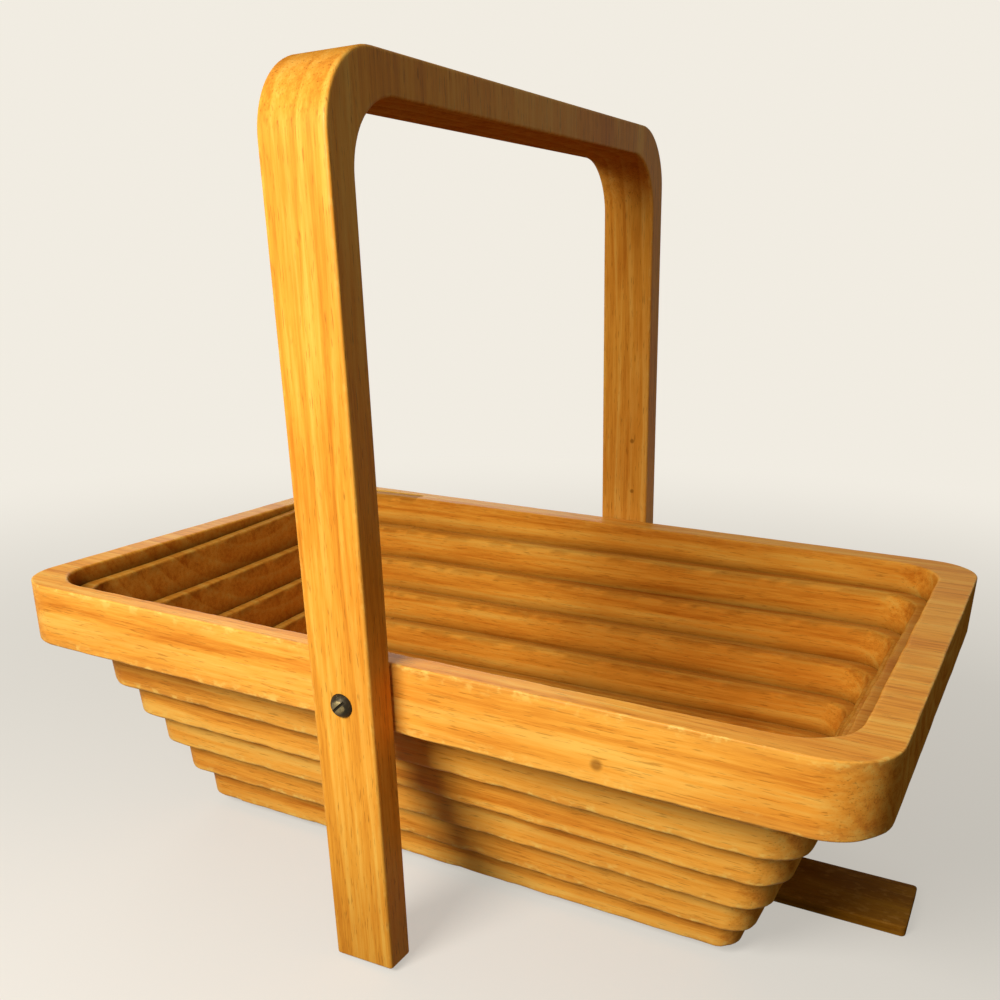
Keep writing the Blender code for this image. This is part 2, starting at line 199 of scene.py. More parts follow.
@dataclass
class Board:
    """The board that rim, coil and base plate are sawn from, and the spiral cut through it."""

    # How far inside the board's ends and sides the cut starts, and how far a turn moves it in
    cut_inset_x: float = 11.0 * MM
    cut_inset_y: float = 7.7 * MM
    pitch_x: float = 5.8 * MM
    pitch_y: float = 7.2 * MM
    # The radius of the cut's corners where it starts, and how much a turn takes off it
    first_radius: float = 18.4 * MM
    radius_loss: float = 1.6 * MM
    corner_radius: float = 19.0 * MM
    # How far before the innermost turn's first corner the seam is, where the coil leaves the rim
    seam_before_corner: float = 4.3 * MM
    saw_tilt: float = radians(5.0)
    # What is left of the cut between two turns that hang a whole drop apart
    wedge_gap: float = 0.3 * MM
    turns: int = 5
    corner_steps: int = 14
    straight_step: float = 4.5 * MM
    # How far the cut strays from its line
    wander: float = 0.09 * MM
    # How much the sander took off the outline, how unevenly, and by how much longer waves
    sanded: float = 0.06 * MM
    sander_wander: float = 0.05 * MM
    sander_waves: float = 0.6
    # The least drop between neighbouring turns, as a share of a whole one
    least_drop: float = 0.01
    # Shares of one turn's drop that a turn has lost at the ends of its near side and right end
    near_end_loss: float = 0.57
    right_end_loss: float = 0.79
    # What the frame and the values above give
    length: float = field(init=False)
    width: float = field(init=False)
    thickness: float = field(init=False)
    bottom: float = field(init=False)
    drop: float = field(init=False)
    first_drop: float = field(init=False)
    slope: float = field(init=False)
    kerf: float = field(init=False)
    seam_x: float = field(init=False)
    perimeter: float = field(init=False)
    # Shares of one turn from the seam: where straights and corners start and end, where the
    # coil's stretches meet, and where a strip has a cross-section
    runs: list[float] = field(init=False)
    bends: tuple[float, float, float] = field(init=False)
    stations: list[float] = field(init=False)

    def __post_init__(self) -> None:
        """Take the board's size and place, and the drop of one turn, from the frame."""
        low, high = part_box("rim")
        self.length, self.width, self.thickness = high - low
        self.bottom = low.z
        ranges = {joint["name"]: joint["range_m"][1] for joint in frame["joints"]
                  if joint["type"] == "slide"}
        self.drop = ranges["base_slide"]
        self.first_drop = ranges["turn_1_slide"]
        self.slope = tan(self.saw_tilt)
        self.kerf = self.drop * self.slope + self.wedge_gap
        inner_corner = (self.length / 2 - self.cut_inset_x - self.first_radius
                        - self.turns * (self.pitch_x - self.radius_loss))
        self.seam_x = self.seam_before_corner - inner_corner
        lengths = self._lengths()
        self.perimeter = sum(lengths)
        self.runs = list(accumulate((length / self.perimeter for length in lengths), initial=0.0))
        lead = STRAIGHT_LEAD / self.perimeter
        self.bends = (self.runs[NEAR_START] + lead, self.runs[NEAR_END] - lead,
                      self.runs[FAR_START] + lead)
        self.stations = self._stations()

    def level(self, body: int) -> float:
        """How far a body hangs below the rim: number 0 is the rim, and the last the base."""
        return 0.0 if body == 0 else self.first_drop + (body - 1) * self.drop

    def body(self, number: int) -> str:
        """The name of the frame's body with that number."""
        return ("rim", *(f"turn_{turn + 1}" for turn in range(self.turns)), "base")[number]

    def lost(self, share: float) -> float:
        """How much of one drop a turn has lost at a share of it, from 0 to 1.

        Args:
            share: where in the turn.

        Returns:
            The loss as a share of one drop.
        """
        places = (0.0, *self.bends, 1.0)
        losses = (0.0, self.first_drop / self.drop, self.near_end_loss, self.right_end_loss, 1.0)
        stretch = max(i for i in range(len(Stretch)) if share >= places[i])
        part = (share - places[stretch]) / (places[stretch + 1] - places[stretch])
        return losses[stretch] + (losses[stretch + 1] - losses[stretch]) * part

    def drop_inside(self, turn: int, share: float) -> float:
        """How far the wood inside a turn hangs below it.

        Args:
            turn: the turn, where 0 is the rim and -1 is outside the board.
            share: where in that turn.

        Returns:
            The drop, or infinity where there is no wood.
        """
        if turn < 0:
            return inf
        first = self.first_drop / self.drop
        if turn == 0:
            part = self.lost(share)
        elif turn > self.turns:
            part = first - self.lost(share)
        elif turn == self.turns and share > self.bends[0]:
            part = 1 + first - self.lost(share)
        else:
            part = 1.0
        return self.drop * max(part, self.least_drop)

    def _lengths(self) -> tuple[float, ...]:
        """How long each straight and each corner of the board's outline is.

        Returns:
            The lengths, from the seam on.
        """
        along = self.length - 2 * self.corner_radius
        across = self.width - 2 * self.corner_radius
        corner = self.corner_radius * pi / 2
        stub = along / 2 + self.seam_x
        return stub, corner, across, corner, along, corner, across, corner, along - stub

    def _stations(self) -> list[float]:
        """Shares of one turn at which a strip has a cross-section.

        Returns:
            The shares, from 0 to 1.
        """
        stations = []
        for run, (start, end) in enumerate(zip(self.runs, self.runs[1:])):
            steps = self.corner_steps
            if run % 2 == 0:
                steps = max(2, round((end - start) * self.perimeter / self.straight_step))
            stations += [start + (end - start) * step / steps for step in range(steps)]
        return stations + [1.0]

    def outline(self, share: float, inset_x: float, inset_y: float, radius: float) -> Point2:
        """A point on a rounded rectangle inside the board's outline.

        Args:
            share: where on the outline, as a share of one turn from the seam.
            inset_x: how far the ends lie inside the board's ends.
            inset_y: how far the sides lie inside the board's sides.
            radius: the corners' radius.

        Returns:
            The point's x and y.
        """
        half_x = self.length / 2 - inset_x
        half_y = self.width / 2 - inset_y
        mid_x, mid_y = half_x - radius, half_y - radius
        run = max(i for i in range(len(self.runs) - 1) if share >= self.runs[i] - SHARE_ERROR)
        part = (share - self.runs[run]) / (self.runs[run + 1] - self.runs[run])
        if run % 2:
            sign_x, sign_y, first = CORNERS[(run // 2 + 1) % len(CORNERS)]
            angle = radians(first + 90 * part)
            return sign_x * mid_x + radius * cos(angle), sign_y * mid_y + radius * sin(angle)
        ends = ((self.seam_x, half_y), (-mid_x, half_y), (-half_x, mid_y), (-half_x, -mid_y),
                (-mid_x, -half_y), (mid_x, -half_y), (half_x, -mid_y), (half_x, mid_y),
                (mid_x, half_y), (self.seam_x, half_y))
        (x0, y0), (x1, y1) = ends[run], ends[run + 1]
        return x0 + (x1 - x0) * part, y0 + (y1 - y0) * part

    def cut(self, turn: int, share: float, side: int, level: float) -> Point2:
        """A point on a wall of the saw cut.

        Args:
            turn: the turn of the cut, from 0.
            share: where in that turn.
            side: 1 for the wall outside the cut and -1 for the one inside it.
            level: height above the board's lower face.

        Returns:
            The point's x and y.
        """
        wound = turn + share
        shift = (self.thickness / 2 - level) * self.slope - side * self.kerf / 2
        shift += self.wander * ripple(wound * self.perimeter, CUT_SEED)
        return self.outline(share, self.cut_inset_x + self.pitch_x * wound + shift,
                            self.cut_inset_y + self.pitch_y * wound + shift,
                            self.first_radius - self.radius_loss * wound - shift)

    def edge(self, share: float) -> Point2:
        """A point on the board's outline, which the sander left a little uneven.

        Args:
            share: where on the outline, as a share of one turn from the seam.

        Returns:
            The point's x and y.
        """
        wave = ripple(share * self.perimeter * self.sander_waves, OUTLINE_SEED)
        inset = self.sanded + self.sander_wander * wave
        return self.outline(share, inset, inset, self.corner_radius - inset)


@dataclass
class Rounding:
    """How far each edge of a strip's cross-section is rounded."""

    outer_bottom: float
    outer_top: float
    inner_top: float
    inner_bottom: float
    # Steps in each rounding, and rows of faces on each wall
    steps: int = 3
    rows: int = 6
    # How unevenly the edges are chipped, in how many times as many waves as the cut has, the
    # lowest wave that counts, and what a turn adds to the seed
    chips: float = 0.0
    chip_waves: float = 1.9
    least_chip: float = -0.6
    turn_seed: float = 1.7

    def scale(self, board: Board, share: float, turn: int) -> float:
        """By how much more than usual the edges are rounded at a share of a turn."""
        wave = ripple(share * board.perimeter * self.chip_waves, CHIP_SEED + turn * self.turn_seed)
        return 1.0 + self.chips * max(self.least_chip, wave)


@dataclass(frozen=True)
class PaintedShadeAndDust:
    """Painted shade on sawn walls and in crevices, and dusty, shaded ledges, from 0 for clean wood
    to 1.
    """

    # Painted shade: a haze and a dark line up the outer walls, and where each starts as a share of
    # the drop
    haze: float = 0.30
    haze_start: float = 0.20
    crevice: float = 0.70
    crevice_start: float = 0.80
    # The same painted shade inside the basket, low on the inner walls
    inside: float = 0.70
    inside_start: float = 0.70
    # Dust and painted shade on the ledges, and how much less lies at their inner edge
    ledge_dust_and_shade: float = 0.62
    ledge_fall: float = 0.25
    ledge_above: float = 0.95

    def wall(self, board: Board, level: float, side: float, drop: float) -> float:
        """How much painted shade a sawn wall gets, where the next turn's edge lies on it.

        Args:
            board: the board that the coil is sawn from.
            level: height above the board's lower face.
            side: 1 for a strip's outer wall and -1 for its inner wall.
            drop: how far the next turn hangs below this one, or this one below the last.

        Returns:
            A value from 0 for unshaded wood to 1 in the crevice, and less inside the basket.
        """
        if side > 0:
            reach = level / drop
            return (self.haze * smooth_above(reach, self.haze_start)
                    + self.crevice * smooth_above(reach, self.crevice_start))
        reach = (board.thickness - level) / drop
        return self.inside * smooth_above(reach, self.inside_start)

    def ledge(self, across: float, above: float) -> float:
        """Dusty ledges with painted shade: how dark a point of the cross-section is, by its shares
        of the two widths.
        """
        return self.ledge_dust_and_shade - self.ledge_fall * across if above > self.ledge_above else 0.0


SHADE_AND_DUST_MARKS = PaintedShadeAndDust()


class Vertex(NamedTuple):
    """A vertex, and what its mesh notes there."""

    point: Vector
    # Its place in the board
    grain: Vector
    # From 0 to 1: worn, where edges also get a painted highlight; darkened by painted shade, with
    # dust on the ledges; and on a sawn wall that faces inwards, which is painted darker as shade
    wear: float = 0.0
    shade_and_dust: float = 0.0
    sawn: float = 0.0


def skin(name: str, rings: Sequence[Sequence[Vertex]], closed: bool = False) -> bpy.types.Object:
    """Make a piece whose faces run from each cross-section to the next.

    Args:
        name: the piece's name.
        rings: its cross-sections, with as many vertices each.
        closed: whether the last one runs on into the first, or else both are capped.

    Returns:
        The new object, with its faces pointing out.
    """
    count = len(rings[0])
    firsts = list(range(0, len(rings) * count, count))
    ends = [tuple(range(count)), tuple(firsts[-1] + i for i in reversed(range(count)))]
    if closed:
        firsts.append(0)
    faces = [(one + i, two + i, two + (i + 1) % count, one + (i + 1) % count)
             for one, two in zip(firsts, firsts[1:]) for i in range(count)]
    if not closed:
        faces += ends
    vertices = [vertex for ring in rings for vertex in ring]
    data = bpy.data.meshes.new(name)
    data.from_pydata([tuple(vertex.point) for vertex in vertices], [], faces)
    for note in (WEAR, SHADE_AND_DUST, SAWN):
        values = [getattr(vertex, note) for vertex in vertices]
        data.attributes.new(note, "FLOAT", "POINT").data.foreach_set("value", values)
    flat = [number for vertex in vertices for number in vertex.grain]
    data.attributes.new(GRAIN, "FLOAT_VECTOR", "POINT").data.foreach_set("vector", flat)
    mesh = bmesh.new()
    mesh.from_mesh(data)
    bmesh.ops.recalc_face_normals(mesh, faces=mesh.faces[:])
    bmesh.ops.triangulate(mesh, faces=[f for f in mesh.faces if len(f.verts) > 4])
    mesh.to_mesh(data)
    mesh.free()
    data.shade_smooth()
    data.set_sharp_from_angle(angle=radians(SHARP_WOOD))
    made = add_object(name, data)
    normals = made.modifiers.new("even_faces", "WEIGHTED_NORMAL")
    normals.keep_sharp = True
    return made


class SectionPoint(NamedTuple):
    """A point on a strip's cross-section."""

    # Its shares of the way from the outer wall to the inner wall and from bottom to top
    across: float
    above: float
    worn: float
    # 1 on the outer wall, -1 on the inner wall and 0 on the upper and lower faces
    side: float


def section(width: float, height: float, rounding: Rounding,
            scale: float = 1.0) -> list[SectionPoint]:
    """The outline of a strip's cross-section.

    Args:
        width: from the outer wall to the inner wall.
        height: from the lower face to the upper face.
        rounding: how its edges are rounded.
        scale: by how much more than usual they are rounded here.

    Returns:
        Its points.
    """
    points = []

    def corner(radius: float, inner: bool, upper: bool, first: int) -> None:
        """Round an edge.

        Args:
            radius: the usual radius.
            inner: whether it is on the inner wall.
            upper: whether it is on the upper face.
            first: the angle at which the rounding starts, in degrees.
        """
        radius *= scale
        side = -1.0 if inner else 1.0
        for angle in quarter(rounding.steps, first, -90):
            across = (width - radius if inner else radius) + radius * cos(angle)
            above = (height - radius if upper else radius) + radius * sin(angle)
            points.append(SectionPoint(across / width, above / height,
                                       LITTLE_WEAR if inner else 1.0, side * abs(cos(angle))))

    def wall(share: float, low: float, high: float, side: float) -> None:
        """Put points on a wall.

        Args:
            share: the wall's share of the width.
            low: the height to start from.
            high: the height to end at.
            side: 1 for the outer wall and -1 for the inner wall.
        """
        for row in range(1, rounding.rows):
            level = low + (high - low) * row / rounding.rows
            points.append(SectionPoint(share, level / height, 0.0, side))

    corner(rounding.outer_bottom, False, False, 270)
    wall(0.0, rounding.outer_bottom * scale, height - rounding.outer_top * scale, 1.0)
    corner(rounding.outer_top, False, True, 180)
    for across in (rounding.outer_top * scale + LIP, width / 2,
                   width - rounding.inner_top * scale - LIP):
        points.append(SectionPoint(across / width, 1.0, 0.0, 0.0))
    corner(rounding.inner_top, True, True, 90)
    wall(1.0, height - rounding.inner_top * scale, rounding.inner_bottom * scale, -1.0)
    corner(rounding.inner_bottom, True, False, 0)
    points.append(SectionPoint(0.5, 0.0, 0.0, 0.0))
    return points


@dataclass
class Strip:
    """A stretch of wood between two walls, swept along the board's outline."""

    board: Board
    rounding: Rounding
    outer: Callable[[float, float], Point2]
    inner: Callable[[float, float], Point2]
    height_at: Callable[[float, float], float]
    turn: int = 0

    def sweep(self, shares: Sequence[float]) -> list[list[Vertex]]:
        """Draw a cross-section at each share of the turn.

        Args:
            shares: where the cross-sections lie.

        Returns:
            The vertices of each cross-section.
        """
        thick = self.board.thickness
        rings = []
        for share in shares:
            low_out, high_out = (Vector((*self.outer(share, z), z)) for z in (0.0, thick))
            low_in, high_in = (Vector((*self.inner(share, z), z)) for z in (0.0, thick))
            width = (high_in - high_out).length
            chip = self.rounding.scale(self.board, share, self.turn)
            drops = [self.board.drop_inside(turn, share) for turn in (self.turn - 1, self.turn)]
            ring = []
            for across, above, worn, side in section(width, thick, self.rounding, chip):
                place = low_out.lerp(low_in, across).lerp(high_out.lerp(high_in, across), above)
                height = self.height_at(place.x, place.y) + place.z
                # Dust with painted shade on the ledges, and painted shade up the sawn walls
                ledge_dust_and_shade = SHADE_AND_DUST_MARKS.ledge(across, above) if self.turn else 0.0
                shade_and_dust = abs(side) * SHADE_AND_DUST_MARKS.wall(self.board, above * thick, side, drops[side < 0])
                ring.append(Vertex(Vector((place.x, place.y, height)), place, worn,
                                   max(ledge_dust_and_shade, shade_and_dust), max(0.0, -side)))
            rings.append(ring)
        return rings


def math_method(operation: str, flipped: bool = False) -> Callable[["Socket", Any], "Socket"]:
    """A method of Socket that adds a Math node.

    Args:
        operation: what the node does.
        flipped: whether the other value comes first.

    Returns:
        The method.
    """
    def method(self: "Socket", other: Any) -> "Socket":
        """The node's output for this value and another."""
        return self.math(operation, *((other, self) if flipped else (self, other)))

    return method


class Socket:
    """A node's output that Python's operators add Math nodes to."""

    __add__ = math_method("ADD")
    __radd__ = math_method("ADD", flipped=True)
    __sub__ = math_method("SUBTRACT")
    __rsub__ = math_method("SUBTRACT", flipped=True)
    __mul__ = math_method("MULTIPLY")
    __rmul__ = math_method("MULTIPLY", flipped=True)
    __truediv__ = math_method("DIVIDE")
    __rtruediv__ = math_method("DIVIDE", flipped=True)

    def __init__(self, graph: "Graph", socket: bpy.types.NodeSocket) -> None:
        """Keep the socket and the graph that it is in."""
        self.graph = graph
        self.socket = socket

    def math(self, operation: str, *values: Any) -> "Socket":
        """A Math node on some values."""
        return self.graph.node("ShaderNodeMath", {"operation": operation}, values)

    def other(self, output: str) -> "Socket":
        """Another output of the same node."""
        return Socket(self.graph, self.socket.node.outputs[output])

    def fraction(self) -> "Socket":
        """What is left of the value above its whole part."""
        return self.math("FRACT", self)

    def root(self) -> "Socket":
        """The square root."""
        return self.math("SQRT", self)

    def above(self, low: float, high: float) -> "Socket":
        """0 below low, 1 above high, and smooth between them."""
        return self.graph.node("ShaderNodeMapRange", {"interpolation_type": "SMOOTHSTEP"},
                               {"Value": self, "From Min": low, "From Max": high})


# The places of a Mix node's sockets for colours
MIX_SHARE, MIX_ONE, MIX_TWO, MIX_RESULT = 0, 6, 7, 2


@dataclass(frozen=True)
class Noise:
    """A noise pattern around 0.5, with its repeats per metre on each axis."""

    scale: tuple[float, float, float]
    detail: float
    roughness: float
    shift: float = 0.0
    # What counts as none of the pattern and as all of it
    span: tuple[float, float] = (0.0, 1.0)


FIBRES = Noise((90, 1900, 1900), 4.0, 0.60, span=(0.3, 0.7))
STRANDS = Noise((20, 560, 560), 4.0, 0.55, 3, (0.28, 0.72))
BANDS = Noise((7, 130, 130), 2.0, 0.5, 4, (0.28, 0.72))
BLOTCHES = Noise((16, 42, 42), 3.0, 0.55, 5, (0.42, 0.70))
PORES = Noise((150, 2200, 2200), 2.0, 0.5, 7, (0.60, 0.70))
PALE_PATCHES = Noise((240, 420, 420), 3.0, 0.6, 11, (0.50, 0.68))
RING_DRIFT = Noise((5, 18, 18), 2.0, 0.45, 13)
RING_SWAY = Noise((13, 9, 9), 2.0, 0.5, 17)
MOTTLE = Noise((900, 900, 900), 4.0, 0.6, span=(0.52, 0.70))
BRUSHING = Noise((300, 3000, 3000), 3.0, 0.6, 5)
# The way in which a finish's shift moves its patterns
SHIFT_WAY = (1.0, 0.7, 1.3)
# What counts as facing across the fibres and as facing along them
END_SPAN = (0.35, 0.90)
# Tones across one growth ring, from its start to its end
RING_TONES = ((0.0, 0.0), (0.10, 0.05), (0.30, 0.50), (0.70, 0.75), (0.88, 1.0), (1.0, 0.0))


class Graph:
    """The nodes of a material or a world."""

    def __init__(self, owner: bpy.types.Material | bpy.types.World,
                 output: str = "ShaderNodeOutputMaterial") -> None:
        """Start with an empty tree that ends in the owner's output.

        Args:
            owner: the material or world.
            output: the type of its output node.
        """
        owner.use_nodes = True
        self.tree = owner.node_tree
        self.tree.nodes.clear()
        self.output = self.tree.nodes.new(output)

    def node(self, kind: str, settings: dict[str, Any] | None = None,
             inputs: Any = (), output: int | str = 0) -> Socket:
        """Add a node.

        Args:
            kind: the node's type.
            settings: its properties, and the stops of a ramp under "stops".
            inputs: values or links of its sockets, in order, or by place or name.
            output: the place or name of the output that is wanted.

        Returns:
            That output.
        """
        made = self.tree.nodes.new(kind)
        for name, value in (settings or {}).items():
            if name == "stops":
                self._stops(made, value)
            else:
                setattr(made, name, value)
        named = inputs.items() if isinstance(inputs, dict) else enumerate(inputs)
        for name, value in named:
            if isinstance(value, Socket):
                self.tree.links.new(value.socket, made.inputs[name])
            elif value is not None:
                made.inputs[name].default_value = value
        return Socket(self, made.outputs[output])

    def _stops(self, ramp: bpy.types.Node, stops: Sequence[tuple[float, Sequence[float]]]) -> None:
        """Set the stops of a colour ramp.

        Args:
            ramp: the ramp's node.
            stops: the place and colour of each stop.
        """
        elements = ramp.color_ramp.elements
        while len(elements) < len(stops):
            elements.new(1.0)
        for element, (place, colour) in zip(elements, stops):
            element.position = place
            element.color = (*colour, 1.0)

    def attribute(self, name: str, output: str = "Fac") -> Socket:
        """A value that the mesh carries at its vertices."""
        return self.node("ShaderNodeAttribute", {"attribute_name": name}, output=output)

    def noise(self, place: Socket, noise: Noise, shift: float = 0.0) -> Socket:
        """A noise texture.

        Args:
            place: the place on the piece.
            noise: the pattern.
            shift: how far this finish moves every pattern.

        Returns:
            Values around 0.5.
        """
        location = tuple((shift + noise.shift) * part for part in SHIFT_WAY)
        moved = self.node("ShaderNodeMapping", {"vector_type": "POINT"},
                          {"Vector": place, "Location": location, "Scale": noise.scale})
        return self.node("ShaderNodeTexNoise", {"noise_dimensions": "3D"},
                         {"Vector": moved, "Scale": 1.0, "Detail": noise.detail,
                          "Roughness": noise.roughness})

    def mix(self, share: Any, one: Any, two: Any, blend: str = "MIX") -> Socket:
        """A mix of two colours.

        Args:
            share: how much of the second colour.
            one: the first colour.
            two: the second colour.
            blend: how they are mixed.

        Returns:
            The mixed colour.
        """
        one, two = (value if isinstance(value, Socket) else (*value, 1.0) for value in (one, two))
        return self.node("ShaderNodeMix", {"data_type": "RGBA", "blend_type": blend},
                         {MIX_SHARE: share, MIX_ONE: one, MIX_TWO: two}, MIX_RESULT)

    def end(self, shader: Socket) -> None:
        """End the graph in a shader."""
        self.tree.links.new(shader.socket, self.output.inputs["Surface"])

    def surface(self, inputs: dict[str, Any]) -> None:
        """End the graph in a Principled shader."""
        self.end(self.node("ShaderNodeBsdfPrincipled", {}, inputs))


def seen_directly(graph: Graph) -> Socket:
    """1 where the camera looks, also by way of a gloss or through glass, and 0 for other light.

    Args:
        graph: the nodes that it is for.

    Returns:
        The mask.
    """
    path = graph.node("ShaderNodeLightPath", output="Is Camera Ray")
    seen = path + path.other("Is Glossy Ray") + path.other("Is Transmission Ray")
    return graph.node("ShaderNodeClamp", {}, (seen,))


def shade(colour: Colour, share: float) -> Colour:
    """A colour with a share of its light."""
    return tuple(part * share for part in colour)


class Marks(NamedTuple):
    """Where a piece is worn, where painted shade and dusty ledges darken it, where it is sawn and
    painted darker inside, and where it shows end grain.
    """

    wear: Socket
    shade_and_dust: Socket
    sawn: Socket
    ends: Socket


@dataclass(frozen=True)
class Wood:
    """Lacquered wood with growth rings, fibres and pores that run along the board."""

    name: str
    light: Colour
    middle: Colour
    dark: Colour
    # What blotches, sawn walls and end grain multiply the colour by; on the sawn walls, which face
    # inwards, this is painted shade
    deeper: Colour = (0.84, 0.68, 0.50)
    sawn: Colour = (0.75, 0.71, 0.60)
    end_grain: Colour = (0.85, 0.81, 0.76)
    # How much light pores, painted shade with dust, and knots have left of the dark colour
    pore_light: float = 0.45
    shade_and_dust_light: float = 0.20
    knot_light: float = 0.30
    # How strongly blotches, pores, worn edges with their painted highlight, painted shade with
    # dust, and knots show
    blotched: float = 0.60
    pores: float = 0.40
    scuffs_and_highlights: float = 0.85
    shade_and_dust_depth: float = 0.88
    knotted: float = 0.65
    # How patchy the worn edges with their painted highlight are, and how they make the light colour
    # paler, up to a palest value
    patchy: float = 0.8
    pale_gain: float = 1.08
    pale_lift: float = 0.03
    palest: float = 0.97
    # The share of a knot's radius that is all knot
    knot_core: float = 0.35
    # The fibres' direction in the piece, and the growth rings' centre, width, sways and drift
    along: tuple[float, float, float] = (1.0, 0.0, 0.0)
    pith_y: float = 18.0 * MM
    pith_z: float = 78.0 * MM
    ring: float = 8.77 * MM
    sway_y: float = 6.0 * MM
    sway_z: float = 9.0 * MM
    drift: float = 1.2
    # How far each part of the figure darkens the wood, from a base tone
    tone: float = 0.23
    ring_depth: float = 0.32
    strand_depth: float = 0.36
    band_depth: float = 0.30
    fibre_depth: float = 0.20
    # Where on the way from light to dark the tones have the three colours
    stops: tuple[float, float, float] = (0.12, 0.50, 0.95)
    # How rough the surface is, and how much more so it is on fibres, where worn and where shade and
    # dust are painted
    roughness: float = 0.50
    fibre_roughness: float = 0.20
    worn_roughness: float = 0.06
    shade_and_dust_roughness: float = 0.15
    lacquer: float = 0.25
    lacquer_roughness: float = 0.35
    bump_strength: float = 0.45
    bump_height: float = 0.18 * MM
    # How much of that height each part has
    fibre_bump: float = 0.5
    strand_bump: float = 0.5
    pore_bump: float = 0.9
    # How far the patterns of this finish are from another's
    shift: float = 0.0
    # The place in the board and the radius of each small round knot
    knots: tuple[tuple[float, float, float, float], ...] = ()

    def make(self) -> bpy.types.Material:
        """Build the material.

        Returns:
            The new material.
        """
        material = bpy.data.materials.new(self.name)
        graph = Graph(material)
        place = graph.attribute(GRAIN, "Vector")
        marks = Marks(graph.attribute(WEAR), graph.attribute(SHADE_AND_DUST), graph.attribute(SAWN),
                      self._ends(graph))
        fibres, strands, pores = (graph.noise(place, noise, self.shift)
                                  for noise in (FIBRES, STRANDS, PORES))
        pores = pores.above(*PORES.span)
        colour = self._figure(graph, place, fibres, strands)
        colour = graph.mix(pores * self.pores, colour, shade(self.dark, self.pore_light))
        colour = self._aged(graph, place, colour, marks)
        roughness = (self.roughness + (fibres - 0.5) * self.fibre_roughness
                     + marks.wear * self.worn_roughness + marks.shade_and_dust * self.shade_and_dust_roughness)
        height = fibres * self.fibre_bump + strands * self.strand_bump - pores * self.pore_bump
        bump = graph.node("ShaderNodeBump", {}, {
            "Strength": self.bump_strength, "Distance": self.bump_height, "Height": height})
        coat = (1 - marks.ends) * (1 - marks.sawn) * (1 - marks.shade_and_dust) * self.lacquer
        graph.surface({"Base Color": colour, "Roughness": roughness, "Normal": bump,
                       "Coat Weight": coat, "Coat Roughness": self.lacquer_roughness,
                       "Specular IOR Level": 0.0})
        return material

    def _ends(self, graph: Graph) -> Socket:
        """Where the surface faces along the fibres.

        Args:
            graph: the material's nodes.

        Returns:
            1 on end grain and 0 along the fibres.
        """
        normal = graph.node("ShaderNodeTexCoord", output="Normal")
        facing = graph.node("ShaderNodeVectorMath", {"operation": "DOT_PRODUCT"},
                            (normal, self.along), "Value")
        return (facing * facing).above(*END_SPAN)

    def _figure(self, graph: Graph, place: Socket, fibres: Socket, strands: Socket) -> Socket:
        """The colour of clean wood.

        Args:
            graph: the material's nodes.
            place: the place in the board.
            fibres: the finest pattern.
            strands: the next coarser pattern.

        Returns:
            The colour.
        """
        bands = graph.noise(place, BANDS, self.shift)
        blotches = graph.noise(place, BLOTCHES, self.shift)
        tone = (self._rings(graph, place) * self.ring_depth
                + (strands.above(*STRANDS.span) - 0.5) * self.strand_depth
                + (bands.above(*BANDS.span) - 0.5) * self.band_depth
                + fibres.above(*FIBRES.span) * self.fibre_depth + self.tone)
        colours = (self.light, self.middle, self.dark)
        colour = graph.node("ShaderNodeValToRGB", {"stops": tuple(zip(self.stops, colours))},
                            {"Fac": tone})
        deeper = graph.mix(1.0, colour, self.deeper, "MULTIPLY")
        return graph.mix(blotches.above(*BLOTCHES.span) * self.blotched, colour, deeper)

    def _aged(self, graph: Graph, place: Socket, colour: Socket, marks: Marks) -> Socket:
        """The colour with pale worn edges and painted highlights, painted shade, dusty ledges, end
        grain and knots.

        Args:
            graph: the material's nodes.
            place: the place in the board.
            colour: the clean wood's colour.
            marks: where the piece is worn, where shade is painted with dusty ledges, and where it
                is sawn.

        Returns:
            The colour.
        """
        # Worn edges painted paler: partly worn lacquer, partly a painted highlight where rounded
        # edges catch the light
        paler = tuple(min(self.palest, part * self.pale_gain + self.pale_lift)
                      for part in self.light)
        pale_patches = graph.noise(place, PALE_PATCHES, self.shift).above(*PALE_PATCHES.span)
        pale_patches = pale_patches * self.patchy + (1 - self.patchy)
        colour = graph.mix(marks.wear * pale_patches * self.scuffs_and_highlights, colour, paler)
        # The sawn tint on walls that face inwards is painted shade
        for share, tint in ((marks.sawn, self.sawn), (marks.ends, self.end_grain)):
            colour = graph.mix(share, colour, graph.mix(1.0, colour, tint, "MULTIPLY"))
        # Painted shade in the coil's crevices, up its walls and on the handle's top and feet, with
        # dust on the ledges
        colour = graph.mix(marks.shade_and_dust * self.shade_and_dust_depth, colour, shade(self.dark, self.shade_and_dust_light))
        for *centre, radius in self.knots:
            knot = self._knot(graph, place, centre, radius)
            colour = graph.mix(knot * self.knotted, colour, shade(self.dark, self.knot_light))
        return colour

    def _rings(self, graph: Graph, place: Socket) -> Socket:
        """The growth rings' tone, which darkens slowly and ends in a crisp line.

        Args:
            graph: the material's nodes.
            place: the place in the board.

        Returns:
            The tone, from 0 to 1.
        """
        drift = graph.noise(place, RING_DRIFT, self.shift)
        sway = graph.noise(place, RING_SWAY, self.shift)
        split = graph.node("ShaderNodeSeparateXYZ", {}, (place,))
        y = split.other("Y") - self.pith_y + (sway - 0.5) * self.sway_y
        z = split.other("Z") - self.pith_z + (drift - 0.5) * self.sway_z
        radius = (y * y + z * z).root()
        phase = (radius / self.ring + (drift - 0.5) * self.drift).fraction()
        stops = tuple((end, (tone,) * 3) for end, tone in RING_TONES)
        return graph.node("ShaderNodeValToRGB", {"stops": stops}, {"Fac": phase})

